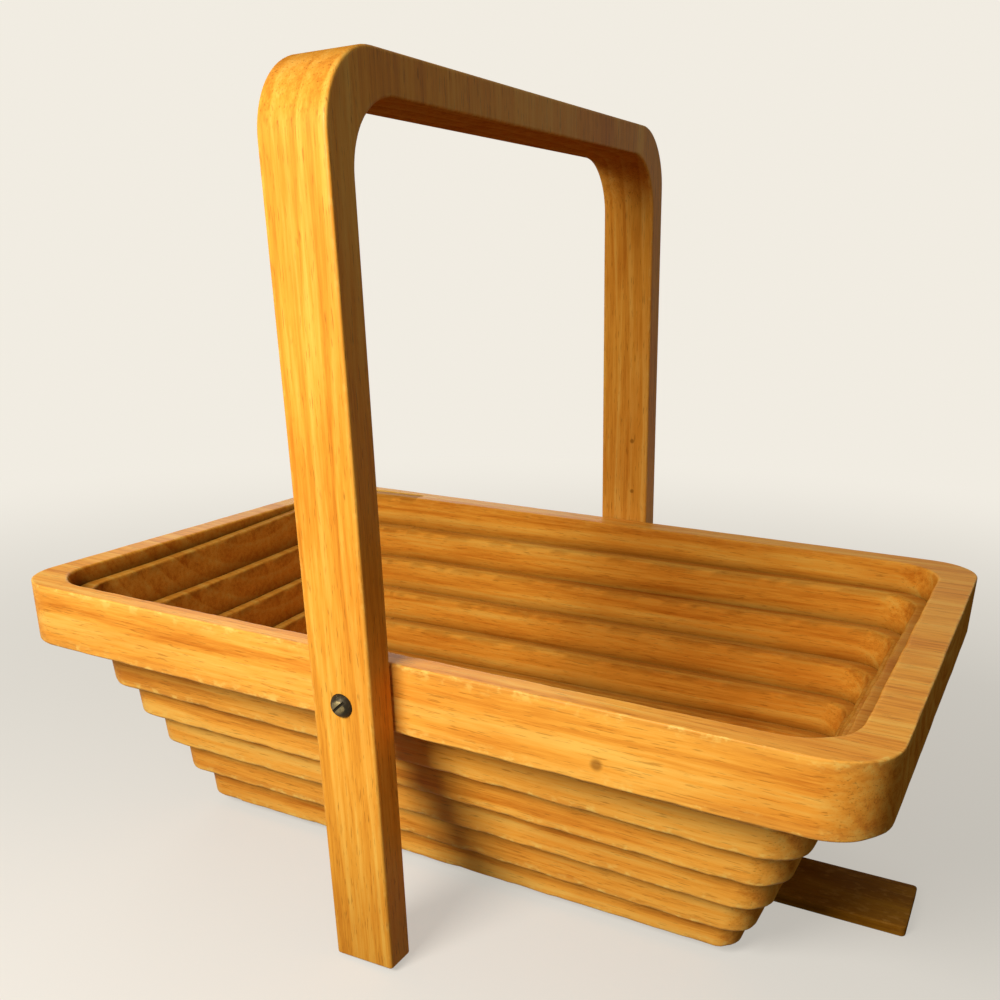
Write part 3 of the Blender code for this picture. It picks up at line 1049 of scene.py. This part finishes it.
    def _knot(self, graph: Graph, place: Socket, centre: Sequence[float],
              radius: float) -> Socket:
        """A small round knot or plug in the board.

        Args:
            graph: the material's nodes.
            place: the place in the board.
            centre: the knot's own place there.
            radius: its radius.

        Returns:
            1 in the knot and 0 outside it.
        """
        away = graph.node("ShaderNodeVectorMath", {"operation": "DISTANCE"},
                          (place, tuple(centre)), "Value")
        return 1 - away.above(radius * self.knot_core, radius)


@dataclass(frozen=True)
class AgedBrass:
    """The dark brass of old wood screws, worn bright on its high edges."""

    name: str = "aged_brass"
    dark: Colour = (0.035, 0.027, 0.015)
    bright: Colour = (0.26, 0.20, 0.09)
    # How much polish and mottling brighten it, and what counts as dull and as bright
    worn_shine: float = 0.7
    mottled_shine: float = 0.5
    shine_span: tuple[float, float] = (0.1, 0.9)
    metallic: float = 0.9
    roughness: float = 0.34
    mottled_roughness: float = 0.25
    bump_strength: float = 0.4
    bump_height: float = 0.06 * MM
    brushed_bump: float = 0.5

    def make(self) -> bpy.types.Material:
        """Build the material.

        Returns:
            The new material.
        """
        material = bpy.data.materials.new(self.name)
        graph = Graph(material)
        place = graph.node("ShaderNodeTexCoord", output="Object")
        wear = graph.attribute(WEAR)
        mottle = graph.noise(place, MOTTLE)
        brushed = graph.noise(place, BRUSHING)
        shine = wear * self.worn_shine + mottle.above(*MOTTLE.span) * self.mottled_shine
        colour = graph.mix(shine.above(*self.shine_span), self.dark, self.bright)
        bump = graph.node("ShaderNodeBump", {}, {
            "Strength": self.bump_strength, "Distance": self.bump_height,
            "Height": mottle + brushed * self.brushed_bump})
        graph.surface({"Base Color": colour, "Metallic": self.metallic, "Normal": bump,
                       "Roughness": self.roughness + mottle * self.mottled_roughness})
        return material


BOARD_WOOD = Wood(
    "lacquered_board", light=(0.98, 0.53, 0.095), middle=(0.94, 0.400, 0.047),
    dark=(0.66, 0.205, 0.014), knots=((0.0820, -0.1053, 0.0063, 0.0026),))
# The handle's sawn tint is painted shade on the inside of the U
HANDLE_WOOD = Wood(
    "lacquered_handle", light=(0.95, 0.50, 0.078), middle=(0.85, 0.355, 0.034),
    dark=(0.57, 0.175, 0.010), sawn=(0.78, 0.78, 0.90), end_grain=(0.80, 0.79, 0.90),
    along=(0.0, 0.0, 1.0), pith_y=0.0, pith_z=-0.80, ring=7.2 * MM, ring_depth=0.30,
    strand_depth=0.30, band_depth=0.19, pores=0.50, scuffs_and_highlights=0.35, shift=21.0,
    knots=((0.0481, 0.1061, 0.0153, 0.0014), (0.0251, 0.1061, 0.0157, 0.0013),
           (0.0683, -0.1171, -0.0016, 0.0032)))
# A darker copy of the board's wood: painted shade from the basket above the bar
SHADED_BAR_WOOD = Wood(
    "lacquered_bar_painted_shade", light=(0.46, 0.205, 0.013), middle=(0.36, 0.140, 0.007),
    dark=(0.24, 0.080, 0.004), ring=7.0 * MM, shift=43.0, roughness=0.60, lacquer=0.05)


def dress(piece: bpy.types.Object, material: bpy.types.Material) -> None:
    """Give a piece its material.

    Args:
        piece: the piece.
        material: its finish.
    """
    piece.data.materials.clear()
    piece.data.materials.append(material)


@dataclass
class Rim:
    """The outer ring of the board."""

    board: Board
    rounding: Rounding

    def build(self, material: bpy.types.Material) -> Pieces:
        """Build the rim, which the coil's first turn grows out of at the seam.

        Args:
            material: its finish.

        Returns:
            The rim.
        """
        board = self.board
        strip = Strip(board, self.rounding, lambda share, level: board.edge(share),
                      lambda share, level: board.cut(0, share, 1, level),
                      lambda x, y: board.bottom)
        rim = skin("rim_board", strip.sweep(board.stations), closed=True)
        dress(rim, material)
        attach(rim, "rim")
        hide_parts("rim")
        return [rim]


@dataclass
class Coil:
    """The strip that winds down from the rim to the base plate."""

    board: Board
    rounding: Rounding

    def build(self, material: bpy.types.Material) -> Pieces:
        """Build every stretch of the coil.

        Args:
            material: its finish.

        Returns:
            The stretches, from the seam inwards.
        """
        turns = self.board.turns
        places = [(turn, stretch) for turn in range(1, turns + 1) for stretch in Stretch]
        places.append((turns + 1, Stretch.LEFT_END))
        return [self._stretch(turn, stretch, material) for turn, stretch in places]

    def _limits(self, stretch: Stretch) -> tuple[float, float]:
        """The shares of a turn at which a stretch starts and ends, on straight wood."""
        places = (0.0, *self.board.bends, 1.0)
        return dict(zip(Stretch, zip(places, places[1:])))[stretch]

    def _middle(self, turn: int, share: float) -> Vector:
        """The middle of the strip at a share of a turn, in plan.

        Args:
            turn: the turn, from 1.
            share: where in it.

        Returns:
            The place, at a height of 0.
        """
        board = self.board
        half = board.thickness / 2
        outer = Vector((*board.cut(turn - 1, share, -1, half), 0.0))
        inner = Vector((*board.cut(turn, share, 1, half), 0.0))
        return (outer + inner) / 2

    def _line(self, turn: int, stretch: Stretch) -> tuple[int, Vector, Vector]:
        """The bodies between which a stretch bends, and the line along which it does.

        Args:
            turn: the turn, from 1.
            stretch: which stretch of it.

        Returns:
            The number of the upper body, and the line's start and end.
        """
        board = self.board
        first_share = board.first_drop / board.drop
        limits = self._limits(stretch)
        start, end = (self._middle(turn, share) for share in limits)
        if stretch is Stretch.LEFT_END:
            upper = turn - 1
            weights = (0.0 if turn == 1 else 1 - first_share, 1.0)
        else:
            upper = turn
            weights = tuple(board.lost(share) - first_share for share in limits)
        along = DOWNHILL[stretch]
        first, last = (unsmooth(weight) for weight in weights)
        reach = (end - start).dot(along)
        full = reach / (last - first)
        origin = start - along * (full * first)
        return upper, origin, origin + along * full

    def _stretch(self, turn: int, stretch: Stretch,
                 material: bpy.types.Material) -> bpy.types.Object:
        """Build one stretch, at rest where its two bodies put it.

        Args:
            turn: the turn, from 1.
            stretch: which stretch of it.
            material: its finish.

        Returns:
            The stretch.
        """
        board = self.board
        upper, start, end = self._line(turn, stretch)
        across = end - start
        high, low = board.level(upper), board.level(upper + 1)

        def height_at(x: float, y: float) -> float:
            """The height of the board's lower face at a place in plan."""
            weight = smooth((Vector((x, y, 0.0)) - start).dot(across) / across.length_squared)
            return board.bottom - high - (low - high) * weight

        strip = Strip(board, self.rounding,
                      lambda share, level: board.cut(turn - 1, share, -1, level),
                      lambda share, level: board.cut(turn, share, 1, level),
                      height_at, turn)
        first, last = self._limits(stretch)
        inside = [share for share in board.stations
                  if first + SAME_SHARE < share < last - SAME_SHARE]
        piece = skin(f"coil_{turn}_{stretch.value}", strip.sweep([first, *inside, last]))
        dress(piece, material)
        if stretch is Stretch.NEAR_SIDE:
            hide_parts(f"coil_turn_{turn}")
        board.body(upper)
        board.body(upper + 1)
        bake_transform(piece)
        return piece


@dataclass
class BasePlate:
    """The middle of the board, which the coil's last stretch runs into."""

    board: Board
    rounding: Rounding
    rows: int = 8
    # How much less painted shade the worn edge gets than the wall
    less_edge_shade: float = 0.8

    def build(self, material: bpy.types.Material) -> Pieces:
        """Build the base plate with a rounded edge all round.

        Args:
            material: its finish.

        Returns:
            The base plate.
        """
        board = self.board
        turn = board.turns
        merge = board.bends[0]
        stations = [(share, turn + 1) for share in board.stations if share < merge - SAME_SHARE]
        stations += [(merge, turn + 1), (merge, turn)]
        stations += [(share, turn) for share in board.stations[:-1] if share > merge + SAME_SHARE]
        lift = Vector((0, 0, board.bottom - board.level(turn + 1)))
        rings = []
        for height, inset, worn in self._profile():
            wall = 1.0 - self.less_edge_shade * worn * min(1.0, inset / self.rounding.outer_top)
            ring = []
            for share, wound in stations:
                scale = self.rounding.scale(board, share, turn + 1)
                level = height(scale)
                point = Vector(board.cut(wound, share, -1, level))
                inward = -point.normalized()
                place = Vector((*(point + inward * inset * scale), level))
                # Painted shade near the top of the plate's outer wall, where the last turn's edge
                # lies
                shade_and_dust = SHADE_AND_DUST_MARKS.wall(board, place.z, 1.0, board.drop_inside(wound, share)) * wall
                ring.append(Vertex(place + lift, place, worn, shade_and_dust))
            rings.append(ring)
        piece = skin("base_board", rings)
        dress(piece, material)
        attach(piece, "base")
        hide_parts("base_plate")
        return [piece]

    def _profile(self) -> list[tuple[Callable[[float], float], float, float]]:
        """Heights by the rounding's scale, insets and wear up the edge of the plate.

        Returns:
            For each level its height as a function of the scale, its inset and its wear.
        """
        thick = self.board.thickness
        bottom, top = self.rounding.outer_bottom, self.rounding.outer_top
        turns = quarter(self.rounding.steps)
        profile = [(lambda scale, rise=1 - cos(turn): bottom * rise * scale,
                    bottom * (1 - sin(turn)), 1.0) for turn in turns]
        profile += [(lambda scale, share=row / self.rows:
                     bottom * scale + (thick - (bottom + top) * scale) * share, 0.0, 0.0)
                    for row in range(1, self.rows)]
        profile += [(lambda scale, drop=1 - sin(turn): thick - top * drop * scale,
                     top * (1 - cos(turn)), 1.0) for turn in turns]
        return profile


@dataclass
class Handle:
    """The U of the handle, cut from the outside of the same board."""

    thickness: float = 11.0 * MM
    width: float = 22.2 * MM
    outer_radius: float = 22.0 * MM
    # The gap to the board's end when the handle is folded
    end_gap: float = 1.6 * MM
    rounding: float = 0.9 * MM
    lean: float = radians(-2.5)
    # Painted shade: how much darker the outside of the U's top and its feet are, where less light
    # falls
    top_shade: float = 0.26
    foot_shade: float = 0.24
    foot_reach: float = 75.0 * MM
    corner_steps: int = 3
    bend_steps: int = 18
    straight_step: float = 5.0 * MM

    def build(self, material: bpy.types.Material, board: Board) -> Pieces:
        """Build the handle, leaning as it stands at rest.

        Args:
            material: its finish.
            board: the board that it folds round.

        Returns:
            The handle.
        """
        hinge = next(j for j in frame["joints"] if j["name"] == "handle_swing")
        pivot = Vector(hinge["pos_m"])
        turned = Matrix.Rotation(self.lean, 4, "Y")
        rails = self._rails(board, pivot)
        top, bottom = (pick(outer.z for outer, _, _ in rails) for pick in (max, min))
        rings = []
        for outer, inner, shrink in rails:
            middle = (outer + inner) / 2
            outward = (outer - inner).normalized()
            # Painted shade on the U's top and feet; the sawn tint paints shade on the inside of the
            # U
            top_painted_shade = self.top_shade * smooth((outer.z - top) / self.outer_radius + 1)
            foot = self.foot_shade * (1 - smooth((outer.z - bottom) / self.foot_reach))
            ring = []
            for along, across, worn, facing in self._section((outer - inner).length, shrink):
                local = middle + outward * along + Vector((across, 0.0, 0.0))
                place = Vector((local.z, local.y, local.x + board.thickness / 2))
                ring.append(Vertex(turned @ local + pivot, place, worn,
                                   foot + top_painted_shade * max(0.0, facing), max(0.0, -facing)))
            rings.append(ring)
        piece = skin("handle_bow", rings)
        dress(piece, material)
        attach(piece, "handle")
        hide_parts("handle")
        return [piece]

    def _rails(self, board: Board, pivot: Vector) -> list[tuple[Vector, Vector, float]]:
        """Pairs of points on the outside and the inside of the U, from one foot to the other.

        Args:
            board: the board that the handle folds round.
            pivot: the middle of the axis that it swings on.

        Returns:
            For each pair its outer point, its inner point and how far the section shrinks.
        """
        low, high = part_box("handle")
        spread = self.width / 2 * sin(-self.lean)
        reach = (high.z - pivot.z - spread) / cos(self.lean)
        foot = (low.z - pivot.z + spread) / cos(self.lean)
        edges = ((high.y, reach, self.outer_radius),
                 (high.y - self.thickness, reach - self.thickness,
                  board.corner_radius + self.end_gap))

        def pair(place: Callable[[float, float, float], Point2], side: int,
                 shrink: float = 0.0) -> tuple[Vector, Vector, float]:
            """The outer and the inner point at one place along the U.

            Args:
                place: gives y and z for a half width, a top and a bend's radius.
                side: -1 for the near half and 1 for the far half.
                shrink: how far the section shrinks there.

            Returns:
                Both points and the shrinking.
            """
            outer, inner = (Vector((0.0, side * y, z)) for y, z in (place(*e) for e in edges))
            return outer, inner, shrink

        halves = []
        for side in (-1, 1):
            half = []
            for angle in quarter(self.corner_steps):
                rise = self.rounding * (1 - cos(angle))
                half.append(pair(lambda y, top, r: (y, foot + rise), side,
                                 self.rounding * (1 - sin(angle))))
            steps = round((reach - foot) / self.straight_step)
            start = foot + self.rounding
            half += [pair(lambda y, top, r: (y, start + (top - r - start) * step / steps), side)
                     for step in range(1, steps + 1)]
            half += [pair(lambda y, top, r: (y - r + r * cos(angle), top - r + r * sin(angle)),
                          side) for angle in quarter(self.bend_steps)[1:]]
            halves.append(half)
        near, far = halves
        steps = round(2 * high.y / self.straight_step)
        bar = [pair(lambda y, top, r: ((y - r) * (2 * step / steps - 1), top), 1)
               for step in range(1, steps)]
        return near + bar + far[::-1]

    def _section(self, depth: float, shrink: float) -> list[tuple[float, float, float, float]]:
        """The outline of the handle's cross-section.

        Args:
            depth: from the outside of the U to its inside.
            shrink: how far the outline is drawn in.

        Returns:
            For each point its offsets out of the U and across it, how worn it is, and which way
            it faces: 1 out of the U, -1 into it and 0 to a side.
        """
        half_t, half_w = depth / 2 - shrink, self.width / 2 - shrink
        radius = self.rounding
        flat_t, flat_w = half_t - radius - LIP, half_w - radius - LIP
        points = []
        for sign_t, sign_w, first in CORNERS:
            for angle in quarter(self.corner_steps, first):
                points.append((sign_t * (half_t - radius) + radius * cos(angle),
                               sign_w * (half_w - radius) + radius * sin(angle), 1.0, cos(angle)))
            for share in (1, 0, -1):
                if sign_t == sign_w:
                    points.append((sign_t * flat_t * share, sign_w * half_w, 0.0, 0.0))
                else:
                    points.append((sign_t * half_t, sign_w * flat_w * share, 0.0, float(sign_t)))
        return points


@dataclass
class Screw:
    """A slotted wood screw."""

    head_radius: float
    shank_radius: float
    slot_width: float
    slot_depth: float
    slot_angle: float = 0.0
    sides: int = 48

    def build(self, name: str, node: str, profile: Sequence[Point2], place: Matrix,
              material: bpy.types.Material, body: str) -> bpy.types.Object:
        """Turn the screw's profile and saw its slot.

        Args:
            name: the piece's name.
            node: the node that it stands for.
            profile: radii and heights from the top of the head to the tip.
            place: where the screw goes.
            material: its finish.
            body: the body that it rides on.

        Returns:
            The screw.
        """
        mesh = bmesh.new()
        previous = None
        for radius, height in profile:
            if radius == 0:
                ring = [mesh.verts.new((0, 0, height))]
            else:
                ring = [mesh.verts.new((radius * cos(2 * pi * i / self.sides),
                                        radius * sin(2 * pi * i / self.sides), height))
                        for i in range(self.sides)]
            if previous:
                for i in range(self.sides):
                    corners = [previous[i % len(previous)], ring[i % len(ring)],
                               ring[(i + 1) % len(ring)], previous[(i + 1) % len(previous)]]
                    mesh.faces.new(list(dict.fromkeys(corners)))
            previous = ring
        bmesh.ops.recalc_face_normals(mesh, faces=mesh.faces[:])
        top = profile[0][1]
        screw = add_mesh(name, mesh)
        self._slot(screw, top)
        screw.data.transform(place)
        self._wear(screw, place, top)
        screw.data.shade_smooth()
        screw.data.set_sharp_from_angle(angle=radians(SHARP_METAL))
        dress(screw, material)
        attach(screw, body)
        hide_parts(node)
        return screw

    def _slot(self, screw: bpy.types.Object, top: float) -> None:
        """Saw the slot across the head.

        Args:
            screw: the screw, head up.
            top: the height of its head.
        """
        mesh = bmesh.new()
        bmesh.ops.create_cube(mesh, size=1.0)
        # The blade is longer than the head is wide, and half of it is above the head
        blade = Matrix.Diagonal((3 * self.head_radius, self.slot_width, 2 * self.slot_depth, 1.0))
        mesh.transform(Matrix.Translation((0, 0, top)) @ Matrix.Rotation(self.slot_angle, 4, "Z")
                       @ blade)
        cut_away(screw, mesh)

    def _wear(self, screw: bpy.types.Object, place: Matrix, top: float) -> None:
        """Note at each vertex how much a driver and hands have polished it.

        Args:
            screw: the screw in its place.
            place: what brought it there.
            top: the height of its head before that.
        """
        back = place.inverted()
        values = [smooth(((back @ vertex.co).z - top + self.slot_depth) / self.slot_depth)
                  for vertex in screw.data.vertices]
        screw.data.attributes.new(WEAR, "FLOAT", "POINT").data.foreach_set("value", values)


@dataclass
class PivotScrews:
    """The two round-head screws that the handle swings on."""

    screw: Screw = field(default_factory=lambda: Screw(
        head_radius=3.9 * MM, shank_radius=2.1 * MM, slot_width=0.9 * MM, slot_depth=1.1 * MM,
        slot_angle=radians(45)))
    head_height: float = 2.4 * MM
    dome_steps: int = 10

    def build(self, material: bpy.types.Material) -> Pieces:
        """Build both screws in their nodes' places.

        Args:
            material: their finish.

        Returns:
            The near screw and the far one.
        """
        screws = []
        for name, side in (("near", -1), ("far", 1)):
            low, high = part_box(f"pivot_screw_{name}")
            centre = (low + high) / 2
            length = high.y - low.y
            y = low.y if side < 0 else high.y
            turned = Matrix.Rotation(radians(-90 * side), 4, "X")
            place = Matrix.Translation((centre.x, y, centre.z)) @ turned
            screws.append(self.screw.build(f"round_head_screw_{name}", f"pivot_screw_{name}",
                                           self._profile(length), place, material, "rim"))
        return screws

    def _profile(self, length: float) -> list[Point2]:
        """Radii and heights from the top of the dome, at 0, down to the tip.

        Args:
            length: from the top to the tip.

        Returns:
            The profile.
        """
        screw = self.screw
        sphere = (screw.head_radius ** 2 + self.head_height ** 2) / (2 * self.head_height)
        widest = asin(screw.head_radius / sphere)
        points = [(0.0, 0.0)]
        for step in range(1, self.dome_steps + 1):
            angle = widest * step / self.dome_steps
            points.append((sphere * sin(angle), sphere * (cos(angle) - 1)))
        return points + [(screw.shank_radius, -self.head_height),
                         (screw.shank_radius, -length + screw.shank_radius), (0.0, -length)]


@dataclass
class Stay:
    """The thin bar under the base plate, and its countersunk screw."""

    width: float = 30.0 * MM
    thickness: float = 4.2 * MM
    overhang: float = 3.5 * MM
    corner: float = 1.6 * MM
    edge: float = 0.6 * MM
    turned: float = radians(1.0)
    hole: float = 2.1 * MM
    seat: float = 4.0 * MM
    # How far the drill goes past the bar
    drill_past: float = 1.0 * MM
    corner_steps: int = 5
    edge_steps: int = 3
    hole_sides: int = 40
    screw: Screw = field(default_factory=lambda: Screw(
        head_radius=3.6 * MM, shank_radius=1.8 * MM, slot_width=0.9 * MM, slot_depth=0.8 * MM))

    def build(self, wood: bpy.types.Material, metal: bpy.types.Material, board: Board) -> Pieces:
        """Build the bar and its screw."""
        return [self._bar(wood, board), self._screw(metal)]

    def _bar(self, wood: bpy.types.Material, board: Board) -> bpy.types.Object:
        """Build the bar with its countersunk hole.

        Args:
            wood: its finish.
            board: the board that it reaches past.

        Returns:
            The bar.
        """
        half_x, half_y = board.length / 2 + self.overhang, self.width / 2
        turned = Matrix.Rotation(self.turned, 4, "Z")
        rings = []
        for level, inset in self._profile():
            ring = []
            for sign_x, sign_y, first in CORNERS:
                for angle in quarter(self.corner_steps, first):
                    place = Vector((
                        sign_x * (half_x - self.corner) + (self.corner - inset) * cos(angle),
                        sign_y * (half_y - self.corner) + (self.corner - inset) * sin(angle),
                        level))
                    ring.append(Vertex(turned @ place, place, 1.0 if inset else LITTLE_WEAR))
            rings.append(ring)
        bar = skin("stay_bar_wood", rings)
        self._drill(bar)
        dress(bar, wood)
        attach(bar, "stay_bar")
        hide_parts("stay_bar")
        return bar

    def _profile(self) -> list[Point2]:
        """Heights and insets up the edge of the bar.

        Returns:
            The profile.
        """
        points = [(self.edge * (1 - sin(turn)), self.edge * (1 - cos(turn)))
                  for turn in quarter(self.edge_steps)]
        return points[::-1] + [(self.thickness - level, inset) for level, inset in points]

    def _drill(self, bar: bpy.types.Object) -> None:
        """Bore the screw's hole and its countersink.

        Args:
            bar: the bar, not yet in its place.
        """
        slope = (self.seat - self.hole) / self.thickness
        mesh = bmesh.new()
        bmesh.ops.create_cone(mesh, cap_ends=True, segments=self.hole_sides,
                              radius1=self.seat + slope * self.drill_past, radius2=self.hole,
                              depth=self.thickness + 2 * self.drill_past)
        mesh.transform(Matrix.Translation((0, 0, self.thickness / 2)))
        cut_away(bar, mesh)

    def _screw(self, metal: bpy.types.Material) -> bpy.types.Object:
        """Build the countersunk screw, head down.

        Args:
            metal: its finish.

        Returns:
            The screw.
        """
        low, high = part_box("stay_screw")
        screw = self.screw
        length = high.z - low.z
        neck = self.thickness - low.z
        profile = [(0.0, 0.0), (screw.head_radius / 2, 0.0), (screw.head_radius, 0.0),
                   (screw.shank_radius, -neck), (screw.shank_radius, -length + screw.shank_radius),
                   (0.0, -length)]
        place = Matrix.Translation((0, 0, low.z)) @ Matrix.Rotation(pi, 4, "X")
        return screw.build("countersunk_screw", "stay_screw", profile, place, metal, "base")


@dataclass
class Studio:
    """The floor, the lights and the camera."""

    # The floor's colour where it is seen, and for the light that it throws back
    floor_colour: Colour = (0.76, 0.74, 0.70)
    floor_bounce: Colour = (0.11, 0.10, 0.09)
    backdrop: Colour = (0.88, 0.84, 0.76)
    ambient: Colour = (1.0, 0.97, 0.93)
    ambient_level: float = 0.18
    floor_radius: float = 9.0
    floor_sides: int = 96
    # The share of the backdrop's glow in the floor, and the distances between which it rises to 1
    floor_glow: float = 0.55
    fade_start: float = 0.20
    fade_end: float = 0.85
    key_place: tuple[float, float, float] = (-0.08, -0.54, 0.40)
    key_size: float = 0.27
    key_power: float = 3.9
    fill_place: tuple[float, float, float] = (-0.75, 0.95, 0.40)
    fill_size: float = 0.80
    fill_power: float = 4.0
    lamp_colour: Colour = (1.0, 0.97, 0.92)
    lamp_aim: tuple[float, float, float] = (0.0, 0.0, 0.10)
    camera_place: tuple[float, float, float] = (0.18116, -0.34642, 0.22058)
    camera_heading: float = radians(28.35)
    camera_pitch: float = radians(-22.34)
    camera_roll: float = radians(0.68)
    # The fitted focal length, the photo's width, and the camera's axis from its top, in pixels
    focal_px: float = 1033.6
    image_px: float = 1000.0
    centre_y_px: float = 680.1
    sensor: float = 36.0
    nearest: float = 0.01

    def build(self) -> None:
        """Set up everything that isn't part of the basket."""
        self._floor()
        self._world()
        self._lamp("key", self.key_place, self.key_size, self.key_power)
        self._lamp("fill", self.fill_place, self.fill_size, self.fill_power)
        self._camera()
        bpy.context.scene.view_settings.view_transform = "Standard"

    def _floor(self) -> None:
        """A wide plain floor that fades into the backdrop."""
        mesh = bmesh.new()
        bmesh.ops.create_circle(mesh, cap_ends=True, segments=self.floor_sides,
                                radius=self.floor_radius)
        floor = add_mesh("floor", mesh)
        material = bpy.data.materials.new("pale_floor")
        graph = Graph(material)
        place = graph.node("ShaderNodeNewGeometry", output="Position")
        away = graph.node("ShaderNodeVectorMath", {"operation": "LENGTH"}, (place,), "Value")
        bounce, paint = (graph.node("ShaderNodeBsdfDiffuse", {}, {"Color": (*colour, 1)})
                         for colour in (self.floor_bounce, self.floor_colour))
        glow = graph.node("ShaderNodeEmission", {}, {"Color": (*self.backdrop, 1)})
        fade = away.above(self.fade_start, self.fade_end) * (1 - self.floor_glow)
        seen = graph.node("ShaderNodeMixShader", {}, (fade + self.floor_glow, paint, glow))
        graph.end(graph.node("ShaderNodeMixShader", {}, (seen_directly(graph), bounce, seen)))
        floor.data.materials.append(material)

    def _world(self) -> None:
        """Soft light from all round, and a pale backdrop for the camera and reflections."""
        world = bpy.data.worlds.new("studio")
        bpy.context.scene.world = world
        graph = Graph(world, "ShaderNodeOutputWorld")
        shades = [graph.node("ShaderNodeBackground", {}, {"Color": (*colour, 1), "Strength": level})
                  for colour, level in ((self.ambient, self.ambient_level), (self.backdrop, 1.0))]
        graph.end(graph.node("ShaderNodeMixShader", {}, (seen_directly(graph), *shades)))

    def _lamp(self, name: str, place: Sequence[float], size: float, power: float) -> None:
        """A large soft lamp that is aimed at the basket.

        Args:
            name: its name.
            place: where it stands.
            size: its width.
            power: its power in watts.
        """
        lamp = bpy.data.lights.new(name, "AREA")
        lamp.shape = "DISK"
        lamp.size = size
        lamp.energy = power
        lamp.color = self.lamp_colour
        made = add_object(name, lamp)
        made.location = place
        aim = Vector(self.lamp_aim) - made.location
        made.rotation_euler = aim.to_track_quat("-Z", "Y").to_euler()

    def _camera(self) -> None:
        """A camera where the photograph was taken."""
        data = bpy.data.cameras.new("camera")
        data.sensor_fit = "HORIZONTAL"
        data.sensor_width = self.sensor
        data.lens = self.sensor * self.focal_px / self.image_px
        data.shift_y = (self.centre_y_px - self.image_px / 2) / self.image_px
        data.clip_start = self.nearest
        camera = add_object("camera", data)
        camera.location = self.camera_place
        turned = Euler((pi / 2 + self.camera_pitch, 0.0, self.camera_heading)).to_matrix()
        camera.rotation_euler = (turned @ Matrix.Rotation(self.camera_roll, 3, "Z")).to_euler()
        bpy.context.scene.camera = camera


def main() -> None:
    """Build the basket's pieces, report them and set up the studio."""
    logging.basicConfig(level=logging.INFO)
    board = Board()
    board_wood, brass = BOARD_WOOD.make(), AgedBrass().make()
    sanded = Rounding(outer_bottom=0.9 * MM, outer_top=0.6 * MM, inner_top=1.0 * MM,
                      inner_bottom=0.4 * MM, chips=0.30)
    sawn = Rounding(outer_bottom=1.2 * MM, outer_top=0.4 * MM, inner_top=1.1 * MM,
                    inner_bottom=0.3 * MM, rows=8, chips=0.38)
    pieces = [
        *Rim(board, sanded).build(board_wood),
        *Coil(board, sawn).build(board_wood),
        *BasePlate(board, sawn).build(board_wood),
        *Handle().build(HANDLE_WOOD.make(), board),
        *PivotScrews().build(brass),
        *Stay().build(SHADED_BAR_WOOD.make(), brass, board),
    ]
    for piece in pieces:
        log.info("%s: %d vertices", piece.name, len(piece.data.vertices))
    Studio().build()


if __name__ == "__main__":
    main()
